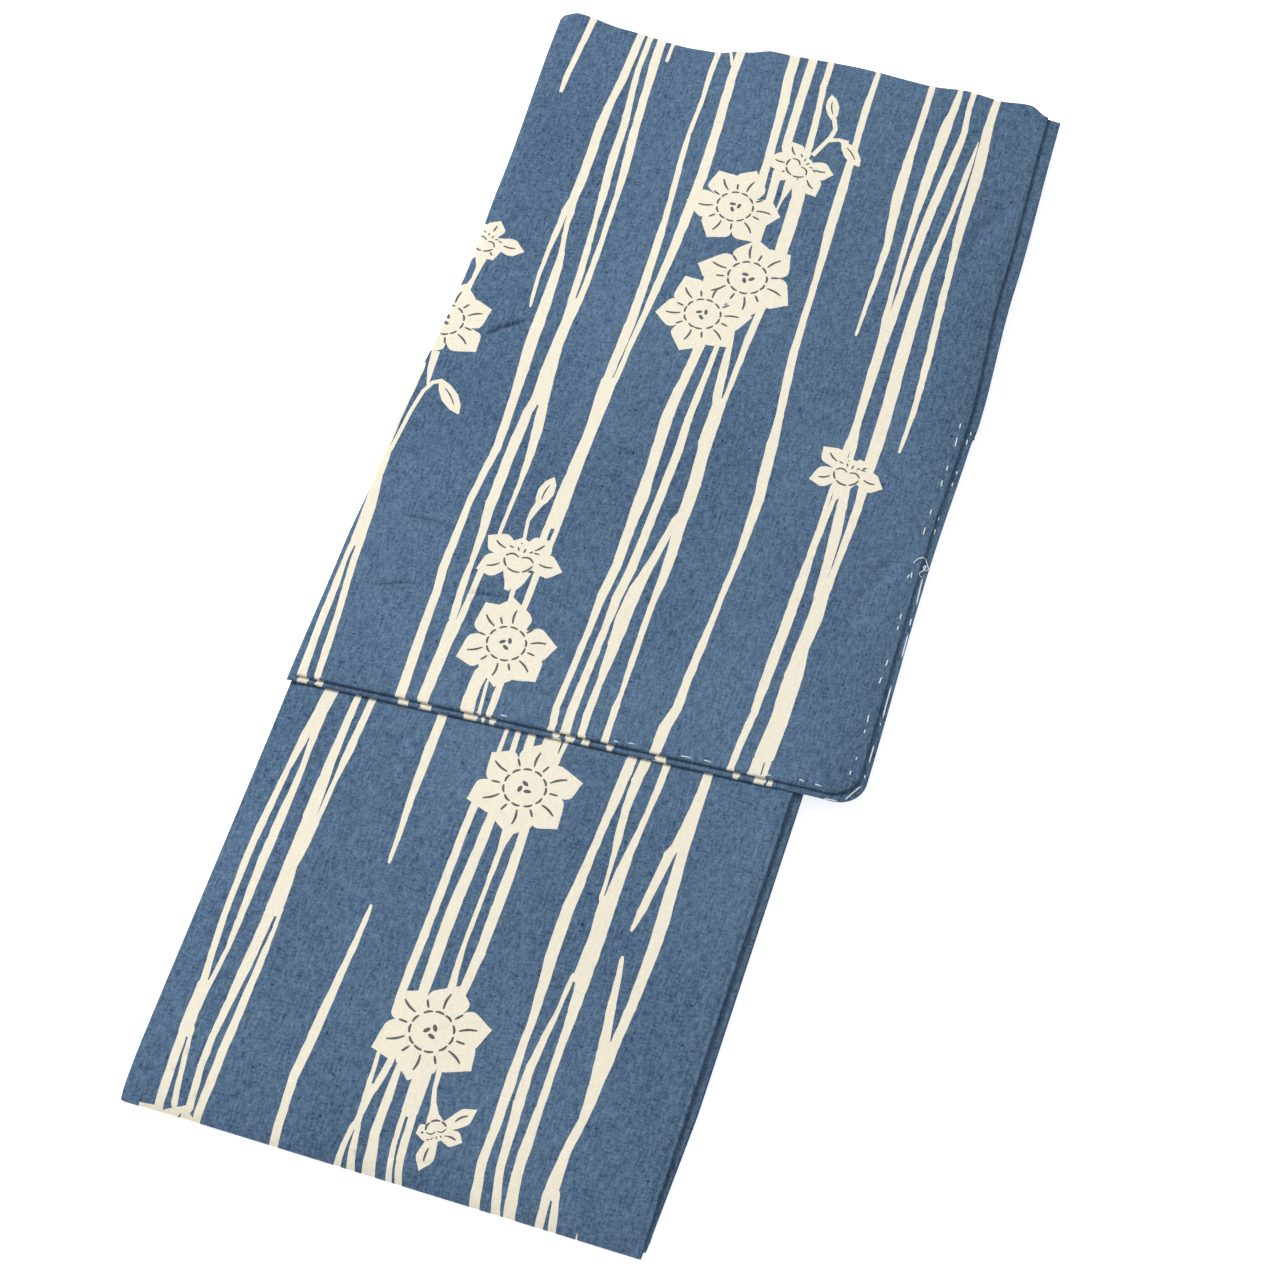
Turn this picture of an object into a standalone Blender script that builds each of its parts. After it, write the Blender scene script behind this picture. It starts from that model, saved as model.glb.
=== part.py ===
"""Cotton yukata folded flat: two sleeves stacked on a long body strip that is folded across.

Metres, +Z up. X runs across the strip, +Y along it towards the shoulders, and the origin is
on the floor below the middle of the bounding box. Every cloth is a wall, and walls keep one
small gap to each other, so each piece can be made from the heights of the one below it.
"""
import math

import bmesh
import bpy
from mathutils import Matrix

# Cloth
WALL = 0.0010
GAP = 0.0003
STEP = WALL + GAP

# The stack of hidden cloth between the body panels
FULL_STACK = 0.0050
SIDE_TAPER = 0.016
SIDE_DROP = 0.0012
LAYER_COUNT = 4
LAYER_GROOVE = 0.0022

# Cross fold at the strip's lower end
FOLD_LEFT_Y = -0.3975
FOLD_RIGHT_Y = -0.4035
FOLD_LENGTH = 0.045
FOLD_CENTRE_Z = 0.0013
OWN_NOSE = 0.0045
INNER_FOLD_SETBACK = 0.0040
STACK_SETBACK = 0.0092
STACK_INSET = 0.0015
SHOULDER_Y = 0.3830
HEM_Y = 0.3790

# Body strip, X of its long edges
BODY_SEAM_X = 0.1285
BODY_UNDER_X = 0.1335
PANEL_INSET = 0.0012
BODY_LEFT_EDGE = (
    # along Y, X
    (-0.400, -0.1697),
    (-0.140, -0.1682),
    (0.180, -0.1615),
    (0.383, -0.1655),
)
UNDER_CORNER_CUT = 0.0035
CORNER_CUT_LENGTH = 0.028

# Sleeves: Y of the lower edge at its two ends, cuff opening, rounded corner
SLEEVE_LEFT_Y = -0.1215
SLEEVE_RIGHT_Y = -0.1062
CUFF_END_Y = 0.1560
CORNER_RADIUS = 0.018
OVERHANG_X = 0.1345
OVERHANG_DROP = 0.0042
UNDER_SLEEVE_LOWER = 0.0030
RIM_ROUND = 0.0007
RIM_DEPTH = 0.0020
TOP_LEFT_EDGE = (
    # along Y, X
    (-0.122, -0.1650),
    (-0.030, -0.1668),
    (0.050, -0.1668),
    (0.180, -0.1620),
    (0.250, -0.1638),
    (0.390, -0.1678),
)
TOP_RIGHT_EDGE = (
    # along Y, X
    (-0.110, 0.1622),
    (0.070, 0.1583),
    (0.160, 0.1592),
    (0.270, 0.1528),
    (0.400, 0.1482),
)
UNDER_LEFT_EDGE = (
    # along Y, X
    (-0.122, -0.1702),
    (-0.030, -0.1690),
    (0.040, -0.1664),
    (0.180, -0.1600),
    (0.390, -0.1650),
)
UNDER_RIGHT_EDGE = (
    # along Y, X
    (-0.110, 0.1670),
    (0.070, 0.1632),
    (0.150, 0.1642),
    (0.165, 0.1652),
    (0.270, 0.1608),
    (0.400, 0.1562),
)
SHOULDER_FOLD = (
    # along X, Y
    (-0.168, 0.3905),
    (-0.158, 0.3945),
    (-0.126, 0.3905),
    (-0.085, 0.3872),
    (-0.057, 0.3905),
    (-0.030, 0.4005),
    (0.030, 0.4035),
    (0.070, 0.4025),
    (0.096, 0.4055),
    (0.116, 0.4040),
    (0.135, 0.4065),
    (0.148, 0.4010),
)
UNDER_SHOULDER_FOLD = (
    # along X, Y
    (-0.168, 0.3870),
    (-0.085, 0.3840),
    (0.000, 0.3980),
    (0.100, 0.4000),
    (0.140, 0.4010),
    (0.158, 0.4015),
)
SHOULDER_REACH = 0.10

# Soft swells of the whole stack: centre, half widths along X and Y, height
SWELLS = (
    # x, y, wide, long, height
    (0.030, 0.330, 0.100, 0.075, 0.0014),
    (-0.090, 0.345, 0.055, 0.060, -0.0009),
    (-0.060, 0.120, 0.110, 0.100, 0.0008),
    (0.070, -0.030, 0.090, 0.110, -0.0006),
    (-0.030, -0.250, 0.110, 0.090, 0.0008),
)

# Mesh spacing
SLEEVE_ROW = 0.034
SLEEVE_COLUMNS = 14
OVERHANG_COLUMNS = 3
BODY_ROWS = 20
FOLD_ROWS = (0.0035, 0.0076, 0.0148, 0.0270, 0.0450)
OWN_ROWS = (0.0009, 0.0022)
BODY_STATIONS = (-0.149, -0.105, -0.060, -0.015, 0.030, 0.075, 0.1175)
EDGE_COLUMN = 0.006
UNDERSIDE_ROWS = 6
FOLD_STEPS = 5

# Colours, linear
INDIGO = (0.088, 0.160, 0.257, 1.0)
INDIGO_UNDER = (0.080, 0.148, 0.240, 1.0)
CLOTH_ROUGHNESS = 0.85


def along(table, t):
    """Smooth value at t from a table of rows (t, value)."""
    if t <= table[0][0]:
        return table[0][1]
    if t >= table[-1][0]:
        return table[-1][1]
    for (a, low), (b, high) in zip(table, table[1:]):
        if t <= b:
            k = (t - a) / (b - a)
            return low + (high - low) * k * k * (3 - 2 * k)
    return table[-1][1]


def mix(a, b, k):
    return a + (b - a) * k


def unit(k):
    return min(1.0, max(0.0, k))


def fold_y(x):
    """Y of the outer face of the cross fold, which runs slightly askew."""
    return mix(FOLD_LEFT_Y, FOLD_RIGHT_Y, unit((x + BODY_UNDER_X) / (2 * BODY_UNDER_X)))


def swell(x, y):
    total = 0.0
    for cx, cy, wide, long, height in SWELLS:
        total += height * math.exp(-((x - cx) / wide) ** 2 - ((y - cy) / long) ** 2)
    return total


def stack_top(x, y):
    """Height of the body's upper face, which falls in a blunt nose to the cross fold."""
    full = 4 * STEP + FULL_STACK + swell(x, y)
    k = 1 - unit((y - fold_y(x)) / FOLD_LENGTH)
    return FOLD_CENTRE_Z + (full - FOLD_CENTRE_Z) * math.sqrt(max(0.0, 1 - k * k))


def side_drop(x, y):
    """How far the body's upper face falls at its pressed side edges."""
    near = min(x - along(BODY_LEFT_EDGE, 0.0), BODY_UNDER_X - x)
    k = 1 - unit(near / SIDE_TAPER)
    fade = unit((y - fold_y(x)) / FOLD_LENGTH)
    return SIDE_DROP * k * k * fade


def sleeve_base(x, y):
    """Height that the sleeves lie on: the body, and past it a slight droop."""
    past = unit((x - OVERHANG_X) / (UNDER_RIGHT_EDGE[0][1] - OVERHANG_X))
    return stack_top(x, y) - OVERHANG_DROP * past * past


def body_left(y):
    return along(BODY_LEFT_EDGE, y)


def new_object(name, bm, colour):
    bmesh.ops.recalc_face_normals(bm, faces=bm.faces[:])
    bmesh.ops.triangulate(bm, faces=bm.faces[:], quad_method="FIXED")
    mesh = bpy.data.meshes.new(name)
    bm.to_mesh(mesh)
    bm.free()
    mesh.shade_smooth()
    mesh.set_sharp_from_angle(angle=math.radians(40))
    material = bpy.data.materials.new(name + "_cloth")
    material.use_nodes = True
    shader = material.node_tree.nodes["Principled BSDF"]
    shader.inputs["Base Color"].default_value = colour
    shader.inputs["Roughness"].default_value = CLOTH_ROUGHNESS
    shader.inputs["Metallic"].default_value = 0.0
    mesh.materials.append(material)
    piece = bpy.data.objects.new(name, mesh)
    bpy.context.scene.collection.objects.link(piece)
    return piece


def skin(bm, lower, upper, flip=False):
    """Faces between two rows of vertices."""
    for a, b, c, d in zip(lower, lower[1:], upper[1:], upper):
        bm.faces.new((d, c, b, a) if flip else (a, b, c, d))


class SleevePlan:
    """Plan of one sleeve: rows along Y between its left and right edges."""

    def __init__(self, left, right, fold, lower):
        self.left = left
        self.right = right
        self.fold = fold
        self.lower = lower

    def rows(self):
        """Row places measured up from the lower edge, close together round the corner."""
        arc = [CORNER_RADIUS * (1 - math.cos(math.radians(a))) for a in (0, 30, 60, 90)]
        reach = CUFF_END_Y - SLEEVE_RIGHT_Y
        straight = round((reach - CORNER_RADIUS) / SLEEVE_ROW)
        arc += [mix(CORNER_RADIUS, reach, (n + 1) / straight) for n in range(straight)]
        self.cuff_row = len(arc) - 1
        head = 0.390 - SLEEVE_RIGHT_Y
        upper = round((head - reach) / SLEEVE_ROW)
        return arc + [mix(reach, head, (n + 1) / upper) for n in range(upper)]

    def ends(self, up, y):
        """X of a row's two ends, drawn in round the lower right corner."""
        right = along(self.right, y)
        k = 1 - unit(up / CORNER_RADIUS)
        return along(self.left, y), right - CORNER_RADIUS * (1 - math.sqrt(1 - k * k))

    def grid(self):
        """Plan points, row by row from the lower edge to the shoulder fold."""
        rows = self.rows()
        top = rows[-1]
        inner = SLEEVE_COLUMNS - OVERHANG_COLUMNS
        points = []
        for up in rows:
            y = SLEEVE_RIGHT_Y + up
            left, right = self.ends(up, y)
            row = []
            for n in range(SLEEVE_COLUMNS + 1):
                if n <= inner:
                    x = mix(left, OVERHANG_X, n / inner)
                else:
                    x = mix(OVERHANG_X, right, (n - inner) / OVERHANG_COLUMNS)
                slant = (SLEEVE_LEFT_Y - SLEEVE_RIGHT_Y) * unit((right - x) / (right - left))
                lower = (slant - self.lower) * (1 - up / top)
                rise = (along(self.fold, x) - (SLEEVE_RIGHT_Y + top)) * unit(1 - (top - up) / SHOULDER_REACH)
                row.append((x, y + lower + rise))
            points.append(row)
        return points


def make_sleeve(name, plan, level, colour):
    """A flat sleeve: folded at the shoulder, sewn below the cuff and along its lower edge,
    open down the whole body side and at the cuff."""
    grid = plan.grid()
    last_row = len(grid) - 1
    last_column = SLEEVE_COLUMNS
    rims = []
    rims += [(0, n) for n in range(last_column + 1)]
    rims += [(row, last_column) for row in range(1, last_row + 1)]
    rims += [(last_row, n) for n in range(last_column - 1, -1, -1)]
    joined = {}
    for row, column in rims:
        across = -1 if column == last_column and row <= plan.cuff_row else 0
        down = 1 if row == 0 else (-1 if row == last_row else 0)
        if across or down:
            size = math.hypot(across, down)
            joined[row, column] = (across / size, down / size)

    bm = bmesh.new()
    names = ("lower_out", "lower_in", "upper_in", "upper_out")
    lift = {"lower_out": 0.0, "lower_in": WALL, "upper_in": STEP, "upper_out": STEP + WALL}
    layers = {}
    for layer in names:
        depth = RIM_DEPTH if layer.endswith("in") else RIM_ROUND
        layers[layer] = []
        for row, points in enumerate(grid):
            verts = []
            for column, (x, y) in enumerate(points):
                across, down = joined.get((row, column), (0, 0))
                px, py = x + across * depth, y + down * depth
                z = sleeve_base(px, py) + GAP + level + lift[layer]
                verts.append(bm.verts.new((px, py, z)))
            layers[layer].append(verts)
    middle = {}
    for row, column in joined:
        x, y = grid[row][column]
        z = sleeve_base(x, y) + GAP + level + (STEP + WALL) / 2
        middle[row, column] = bm.verts.new((x, y, z))

    for row in range(last_row):
        for layer in names:
            skin(bm, layers[layer][row], layers[layer][row + 1])

    loop = rims + [(row, 0) for row in range(last_row - 1, 0, -1)]
    count = len(loop)
    for n, here in enumerate(loop):
        there = loop[(n + 1) % count]
        both = [{layer: layers[layer][row][column] for layer in names} for row, column in (here, there)]
        sewn = here in joined and there in joined
        if sewn and here[1] == there[1] == last_column and max(here[0], there[0]) > plan.cuff_row:
            sewn = False
        if sewn:
            bm.faces.new((both[0]["lower_out"], both[1]["lower_out"], middle[there], middle[here]))
            bm.faces.new((middle[here], middle[there], both[1]["upper_out"], both[0]["upper_out"]))
            bm.faces.new((both[0]["lower_in"], both[1]["lower_in"], both[1]["upper_in"], both[0]["upper_in"]))
        else:
            bm.faces.new((both[0]["lower_out"], both[1]["lower_out"], both[1]["lower_in"], both[0]["lower_in"]))
            bm.faces.new((both[0]["upper_in"], both[1]["upper_in"], both[1]["upper_out"], both[0]["upper_out"]))

    for row, column in ((0, 0), (last_row, 0), (plan.cuff_row, last_column), (last_row, last_column)):
        ring = [layers[layer][row][column] for layer in names]
        bm.faces.new(ring + [middle[row, column]])
    return new_object(name, bm, colour)


def body_rows(x, setback, end):
    """Y places along the strip from a piece's own fold to its own end. Past the fold all
    the strip's pieces share them, so that their facets stay parallel."""
    fold = fold_y(x)
    shared = [place for place in FOLD_ROWS if place > setback + OWN_ROWS[-1] * 1.3]
    rows = [fold + setback + place for place in OWN_ROWS] + [fold + place for place in shared]
    rest = [mix(rows[-1], SHOULDER_Y, (n + 1) / BODY_ROWS) for n in range(BODY_ROWS - 1)]
    return rows + rest + [end]


def body_columns(left, right):
    """X places across the strip, shared by its pieces between their own edges."""
    return [left, left + EDGE_COLUMN] + list(BODY_STATIONS) + [right - EDGE_COLUMN, right]


def nose_top(x, y, start, centre, level):
    """Outer height of a nested panel near its own fold, under its share of the stack."""
    free = stack_top(x, y) - side_drop(x, y) - level
    k = 1 - unit((y - start) / OWN_NOSE)
    return centre + (free - centre) * math.sqrt(max(0.0, 1 - k * k))


def wrapped_path(x, level, setback):
    """Outer points (y, z) of a panel in one lengthwise section: along the top from the
    shoulder, round the cross fold and back along the underside to the hem."""
    start = fold_y(x) + setback
    radius = FOLD_CENTRE_Z
    centre = level + radius
    rows = body_rows(x, setback, SHOULDER_Y - setback)
    top = [(y, nose_top(x, y, start, centre, level)) for y in rows]
    turn = []
    for n in range(FOLD_STEPS + 1):
        angle = math.radians(90) * n / FOLD_STEPS
        turn.append((start + radius * (1 - math.cos(angle)), centre - radius * math.sin(angle)))
    hem = HEM_Y - setback
    first = turn[-1][0]
    under = [(mix(first, hem, (n + 1) / UNDERSIDE_ROWS), level) for n in range(UNDERSIDE_ROWS)]
    return top[::-1] + turn + under


def inner_path(path):
    """The same section moved in by the wall's thickness."""
    points = []
    for n, (y, z) in enumerate(path):
        before = path[max(0, n - 1)]
        after = path[min(len(path) - 1, n + 1)]
        along_y, along_z = after[0] - before[0], after[1] - before[1]
        size = math.hypot(along_y, along_z)
        points.append((y - along_z / size * WALL, z + along_y / size * WALL))
    return points


def make_back(name, level, setback, right_edge, inset, corner_cut, colour):
    """A back panel that lies on top of the strip, turns round the cross fold and lies
    under it."""
    bm = bmesh.new()
    outer_rows, inner_rows = [], []
    places = body_columns(body_left(0.0) + inset, right_edge)
    for place in places:
        share = (place - places[0]) / (places[-1] - places[0])
        outer, inner = [], []
        path = wrapped_path(place, level, setback)
        for (y, z), (inner_y, inner_z) in zip(path, inner_path(path)):
            shift = (body_left(y) - body_left(0.0)) * (1 - share)
            near = 1 - unit((y - fold_y(right_edge) - setback) / CORNER_CUT_LENGTH)
            x = place + shift - corner_cut * near * unit(share * 4 - 3)
            outer.append(bm.verts.new((x, y, z)))
            inner.append(bm.verts.new((x, inner_y, inner_z)))
        outer_rows.append(outer)
        inner_rows.append(inner)
    for n in range(len(places) - 1):
        skin(bm, outer_rows[n], outer_rows[n + 1])
        skin(bm, inner_rows[n], inner_rows[n + 1], flip=True)
    for n in (0, -1):
        skin(bm, outer_rows[n], inner_rows[n])
    for end in (0, -1):
        skin(bm, [row[end] for row in outer_rows], [row[end] for row in inner_rows])
    return new_object(name, bm, colour)


def hidden_outline():
    """Plan grid of the hidden layers, row by row from the cross fold: (x, y, shift in X)."""
    places = body_columns(body_left(0.0) + STACK_INSET, BODY_UNDER_X - 2 * STACK_INSET)
    columns = []
    for place in places:
        share = (place - places[0]) / (places[-1] - places[0])
        start = fold_y(place) + STACK_SETBACK
        rows = [start] + body_rows(place, STACK_SETBACK, SHOULDER_Y - 2 * INNER_FOLD_SETBACK)[len(OWN_ROWS):]
        shifts = [(body_left(y) - body_left(0.0)) * (1 - share) for y in rows]
        columns.append([(place, y, shift) for y, shift in zip(rows, shifts)])
    return [list(row) for row in zip(*columns)]


def make_hidden_layers(name, colour):
    """The fronts, overlaps and collar, folded away: one solid with layered, rounded edges."""
    grid = hidden_outline()
    rows, columns = len(grid) - 1, len(grid[0]) - 1
    floor = 2 * STEP

    def ceiling(x, y):
        return stack_top(x, y) - side_drop(x, y) - 2 * STEP

    bm = bmesh.new()
    loop = [(0, n) for n in range(columns)]
    loop += [(n, columns) for n in range(rows)]
    loop += [(rows, n) for n in range(columns, 0, -1)]
    loop += [(n, 0) for n in range(rows, 0, -1)]
    sheets = {}
    for face in ("floor", "ceiling"):
        sheets[face] = []
        for row, line in enumerate(grid):
            verts = []
            for column, (x, y, shift) in enumerate(line):
                across = 1 if column == 0 else (-1 if column == columns else 0)
                ahead = 1 if row == 0 else (-1 if row == rows else 0)
                px = x + across * LAYER_GROOVE * 0.5
                py = y + ahead * LAYER_GROOVE * 0.5
                z = floor if face == "floor" else ceiling(px, py)
                verts.append(bm.verts.new((px + shift, py, z)))
            sheets[face].append(verts)
        for row in range(rows):
            skin(bm, sheets[face][row], sheets[face][row + 1])
    rings = [[sheets["floor"][row][column] for row, column in loop]]
    for level in range(1, 2 * LAYER_COUNT):
        depth = 0.0 if level % 2 else LAYER_GROOVE
        ring = []
        for row, column in loop:
            x, y, shift = grid[row][column]
            across = 1 if column == 0 else (-1 if column == columns else 0)
            ahead = 1 if row == 0 else (-1 if row == rows else 0)
            px, py = x + across * depth, y + ahead * depth
            z = mix(floor, ceiling(px, py), level / (2 * LAYER_COUNT))
            ring.append(bm.verts.new((px + shift, py, z)))
        rings.append(ring)
    rings.append([sheets["ceiling"][row][column] for row, column in loop])
    for lower, upper in zip(rings, rings[1:]):
        skin(bm, lower + lower[:1], upper + upper[:1])
    return new_object(name, bm, colour)


def centre_on_floor(pieces):
    """Moves the pieces so that the origin is on the floor below the middle of their box."""
    points = [vertex.co for piece in pieces for vertex in piece.data.vertices]
    middle_x = (min(p.x for p in points) + max(p.x for p in points)) / 2
    middle_y = (min(p.y for p in points) + max(p.y for p in points)) / 2
    for piece in pieces:
        piece.data.transform(Matrix.Translation((-middle_x, -middle_y, 0.0)))


def main():
    for old in list(bpy.data.objects):
        bpy.data.objects.remove(old, do_unlink=True)
    under = SleevePlan(UNDER_LEFT_EDGE, UNDER_RIGHT_EDGE, UNDER_SHOULDER_FOLD, UNDER_SLEEVE_LOWER)
    top = SleevePlan(TOP_LEFT_EDGE, TOP_RIGHT_EDGE, SHOULDER_FOLD, 0.0)
    pieces = [
        make_back("left_back", 0.0, 0.0, BODY_SEAM_X, 0.0, 0.0, INDIGO),
        make_back("right_back", STEP, INNER_FOLD_SETBACK, BODY_UNDER_X, PANEL_INSET,
                  UNDER_CORNER_CUT, INDIGO_UNDER),
        make_hidden_layers("hidden_layers", INDIGO_UNDER),
        make_sleeve("right_sleeve", under, 0.0, INDIGO_UNDER),
        make_sleeve("left_sleeve", top, 2 * STEP, INDIGO),
    ]
    centre_on_floor(pieces)


main()
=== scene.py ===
import math

import bmesh
import bpy
import numpy as np
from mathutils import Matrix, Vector
from mathutils.geometry import delaunay_2d_cdt


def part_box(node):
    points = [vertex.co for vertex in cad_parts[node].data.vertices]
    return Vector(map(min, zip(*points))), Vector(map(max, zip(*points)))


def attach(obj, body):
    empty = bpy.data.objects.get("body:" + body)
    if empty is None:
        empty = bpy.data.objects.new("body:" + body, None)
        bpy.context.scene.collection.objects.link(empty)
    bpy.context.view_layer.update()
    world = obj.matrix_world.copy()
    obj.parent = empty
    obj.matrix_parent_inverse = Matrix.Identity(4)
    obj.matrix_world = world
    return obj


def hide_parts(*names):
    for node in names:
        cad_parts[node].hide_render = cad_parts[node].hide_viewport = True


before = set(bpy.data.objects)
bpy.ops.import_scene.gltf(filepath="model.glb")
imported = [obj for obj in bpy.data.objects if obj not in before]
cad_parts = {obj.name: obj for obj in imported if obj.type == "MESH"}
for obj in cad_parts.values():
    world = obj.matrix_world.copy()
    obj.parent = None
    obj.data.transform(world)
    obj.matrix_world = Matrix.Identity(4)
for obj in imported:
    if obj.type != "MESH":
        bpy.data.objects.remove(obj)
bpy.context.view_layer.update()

# Sizes of the solids, repeated from the part's source, in metres
WALL = 0.0010
GAP = 0.0003
STEP = WALL + GAP
FULL_STACK = 0.0050
SIDE_TAPER = 0.016
SIDE_DROP = 0.0012
FOLD_LEFT_Y = -0.3975
FOLD_RIGHT_Y = -0.4035
FOLD_LENGTH = 0.045
FOLD_CENTRE_Z = 0.0013
OWN_NOSE = 0.0045
INNER_FOLD_SETBACK = 0.0040
STACK_SETBACK = 0.0092
STACK_INSET = 0.0015
SHOULDER_Y = 0.3830
HEM_Y = 0.3790
BODY_SEAM_X = 0.1285
BODY_UNDER_X = 0.1335
PANEL_INSET = 0.0012
UNDER_CORNER_CUT = 0.0035
SLEEVE_LEFT_Y = -0.1215
SLEEVE_RIGHT_Y = -0.1062
SLEEVE_HEAD_Y = 0.390
CUFF_END_Y = 0.1560
CORNER_RADIUS = 0.018
OVERHANG_X = 0.1345
OVERHANG_DROP = 0.0042
UNDER_SLEEVE_LOWER = 0.0030
SHOULDER_REACH = 0.10
BODY_LEFT_EDGE = ((-0.400, -0.1697), (-0.140, -0.1682), (0.180, -0.1615), (0.383, -0.1655))
TOP_LEFT_EDGE = ((-0.122, -0.1650), (-0.030, -0.1668), (0.050, -0.1668), (0.180, -0.1620),
                 (0.250, -0.1638), (0.390, -0.1678))
TOP_RIGHT_EDGE = ((-0.110, 0.1622), (0.070, 0.1583), (0.160, 0.1592), (0.270, 0.1528), (0.400, 0.1482))
UNDER_LEFT_EDGE = ((-0.122, -0.1702), (-0.030, -0.1690), (0.040, -0.1664), (0.180, -0.1600), (0.390, -0.1650))
UNDER_RIGHT_EDGE = ((-0.110, 0.1670), (0.070, 0.1632), (0.150, 0.1642), (0.165, 0.1652), (0.270, 0.1608),
                    (0.400, 0.1562))
UNDER_SHOULDER_FOLD = ((-0.168, 0.3870), (-0.085, 0.3840), (0.000, 0.3980), (0.100, 0.4000), (0.140, 0.4010),
                       (0.158, 0.4015))
# Soft swells of the stack: centre, half widths along X and Y, height
SWELLS = ((0.030, 0.330, 0.100, 0.075, 0.0014), (-0.090, 0.345, 0.055, 0.060, -0.0009),
          (-0.060, 0.120, 0.110, 0.100, 0.0008), (0.070, -0.030, 0.090, 0.110, -0.0006),
          (-0.030, -0.250, 0.110, 0.090, 0.0008))

# Sizes of the cloth itself, in metres
HEM_TURN = 0.0005
HEM_DEPTH = 0.012
FLOOR_DROP = 0.0003

# Forms that are finer here than in the part's source: the near right corner of the panel below,
# and the top sleeve's fold at the shoulder as rows of X, Y
CORNER_CUT_LENGTH = 0.085
SHOULDER_FOLD = ((-0.168, 0.3862), (-0.1655, 0.3912), (-0.158, 0.3945), (-0.126, 0.3905),
                 (-0.085, 0.3880), (-0.066, 0.3892), (-0.048, 0.3950), (-0.030, 0.4005),
                 (0.030, 0.4035), (0.070, 0.4025), (0.096, 0.4055), (0.116, 0.4040),
                 (0.135, 0.4065), (0.148, 0.4010))

# How the top sleeve sinks towards its sides: depth, width, and where the left one starts
LEFT_ROLL = 0.0012
LEFT_ROLL_WIDTH = 0.009
LEFT_ROLL_START = 0.14
LEFT_ROLL_FADE = 0.08
RIGHT_ROLL = 0.0008
RIGHT_ROLL_WIDTH = 0.035

# The body's right seam: its shadow line (kise), and the swell of the cloth beside it
KISE_INSIDE = 0.0024
KISE_DEPTH = 0.0004
KISE_WIDTH = 0.0007
KISE_ROWS = 0.0006
SEAM_RISE = 0.0009
SEAM_WIDTH = 0.005
SEAM_FADE = 0.01

# The folded-away layers: how uneven their edges are
LAYERS_IN_STACK = 5
LAYER_GAP = 0.00003
LAYER_STEP = 0.004
LAYER_WAVE = 0.0011
LAYER_BACK = 0.0006
LAYER_LEFT = 0.0009
LAYER_RIGHT = 0.0008
LAYER_HEAD = 0.001
LAYER_CORNER_Y = -0.39

# The basting thread, and where its loose end leaves the top sleeve for the lower one
THREAD_RADIUS = 0.00042
THREAD_END = 0.35
LOOSE_THINNER = 0.8
LOOSE_OVER_X = 0.1595
LOOSE_OVER_WIDTH = 0.0012

# Spacing of the points in the cloth's meshes
TOP_SPACING = 0.0036
BAND_SPACING = 0.006
COARSE_SPACING = 0.009
HIDDEN_SPACING = 0.010
LAYER_SPACING = 0.016
EDGE_STEP = 0.0015
PANEL_EDGE_STEP = 0.00225
TURN_STEPS = 6
HEM_STEPS = 4
# Rows of the triangles' grid, as a share of its spacing, and how near to an edge a point may be
GRID_ROW = .87
GRID_CLEAR = .3
# Share of the points kept where the cloth is hidden, and the seed that picks them
HIDDEN_SHARE = .25
HIDDEN_SEED = 3
# How near points are welded, and how far to either side the slope at a hem is taken
WELD = 3e-6
PROBE = 1e-5
# Middle and half length of the stretch of the back panels that shows, along their length
SHOWN_V = (-0.265, 0.165)

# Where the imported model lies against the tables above
SHIFT_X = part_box("left_back")[1][0] - BODY_SEAM_X
SHIFT_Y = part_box("left_back")[0][1] - FOLD_RIGHT_Y

# Camera: the photo's angle and framing
CAMERA_AZIMUTH = 17.085
CAMERA_ELEVATION = 58.5
CAMERA_DISTANCE = 2.42
CAMERA_TARGET = (0.0157, -0.0341, 0.0)
CAMERA_LENS = 117.04

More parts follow.
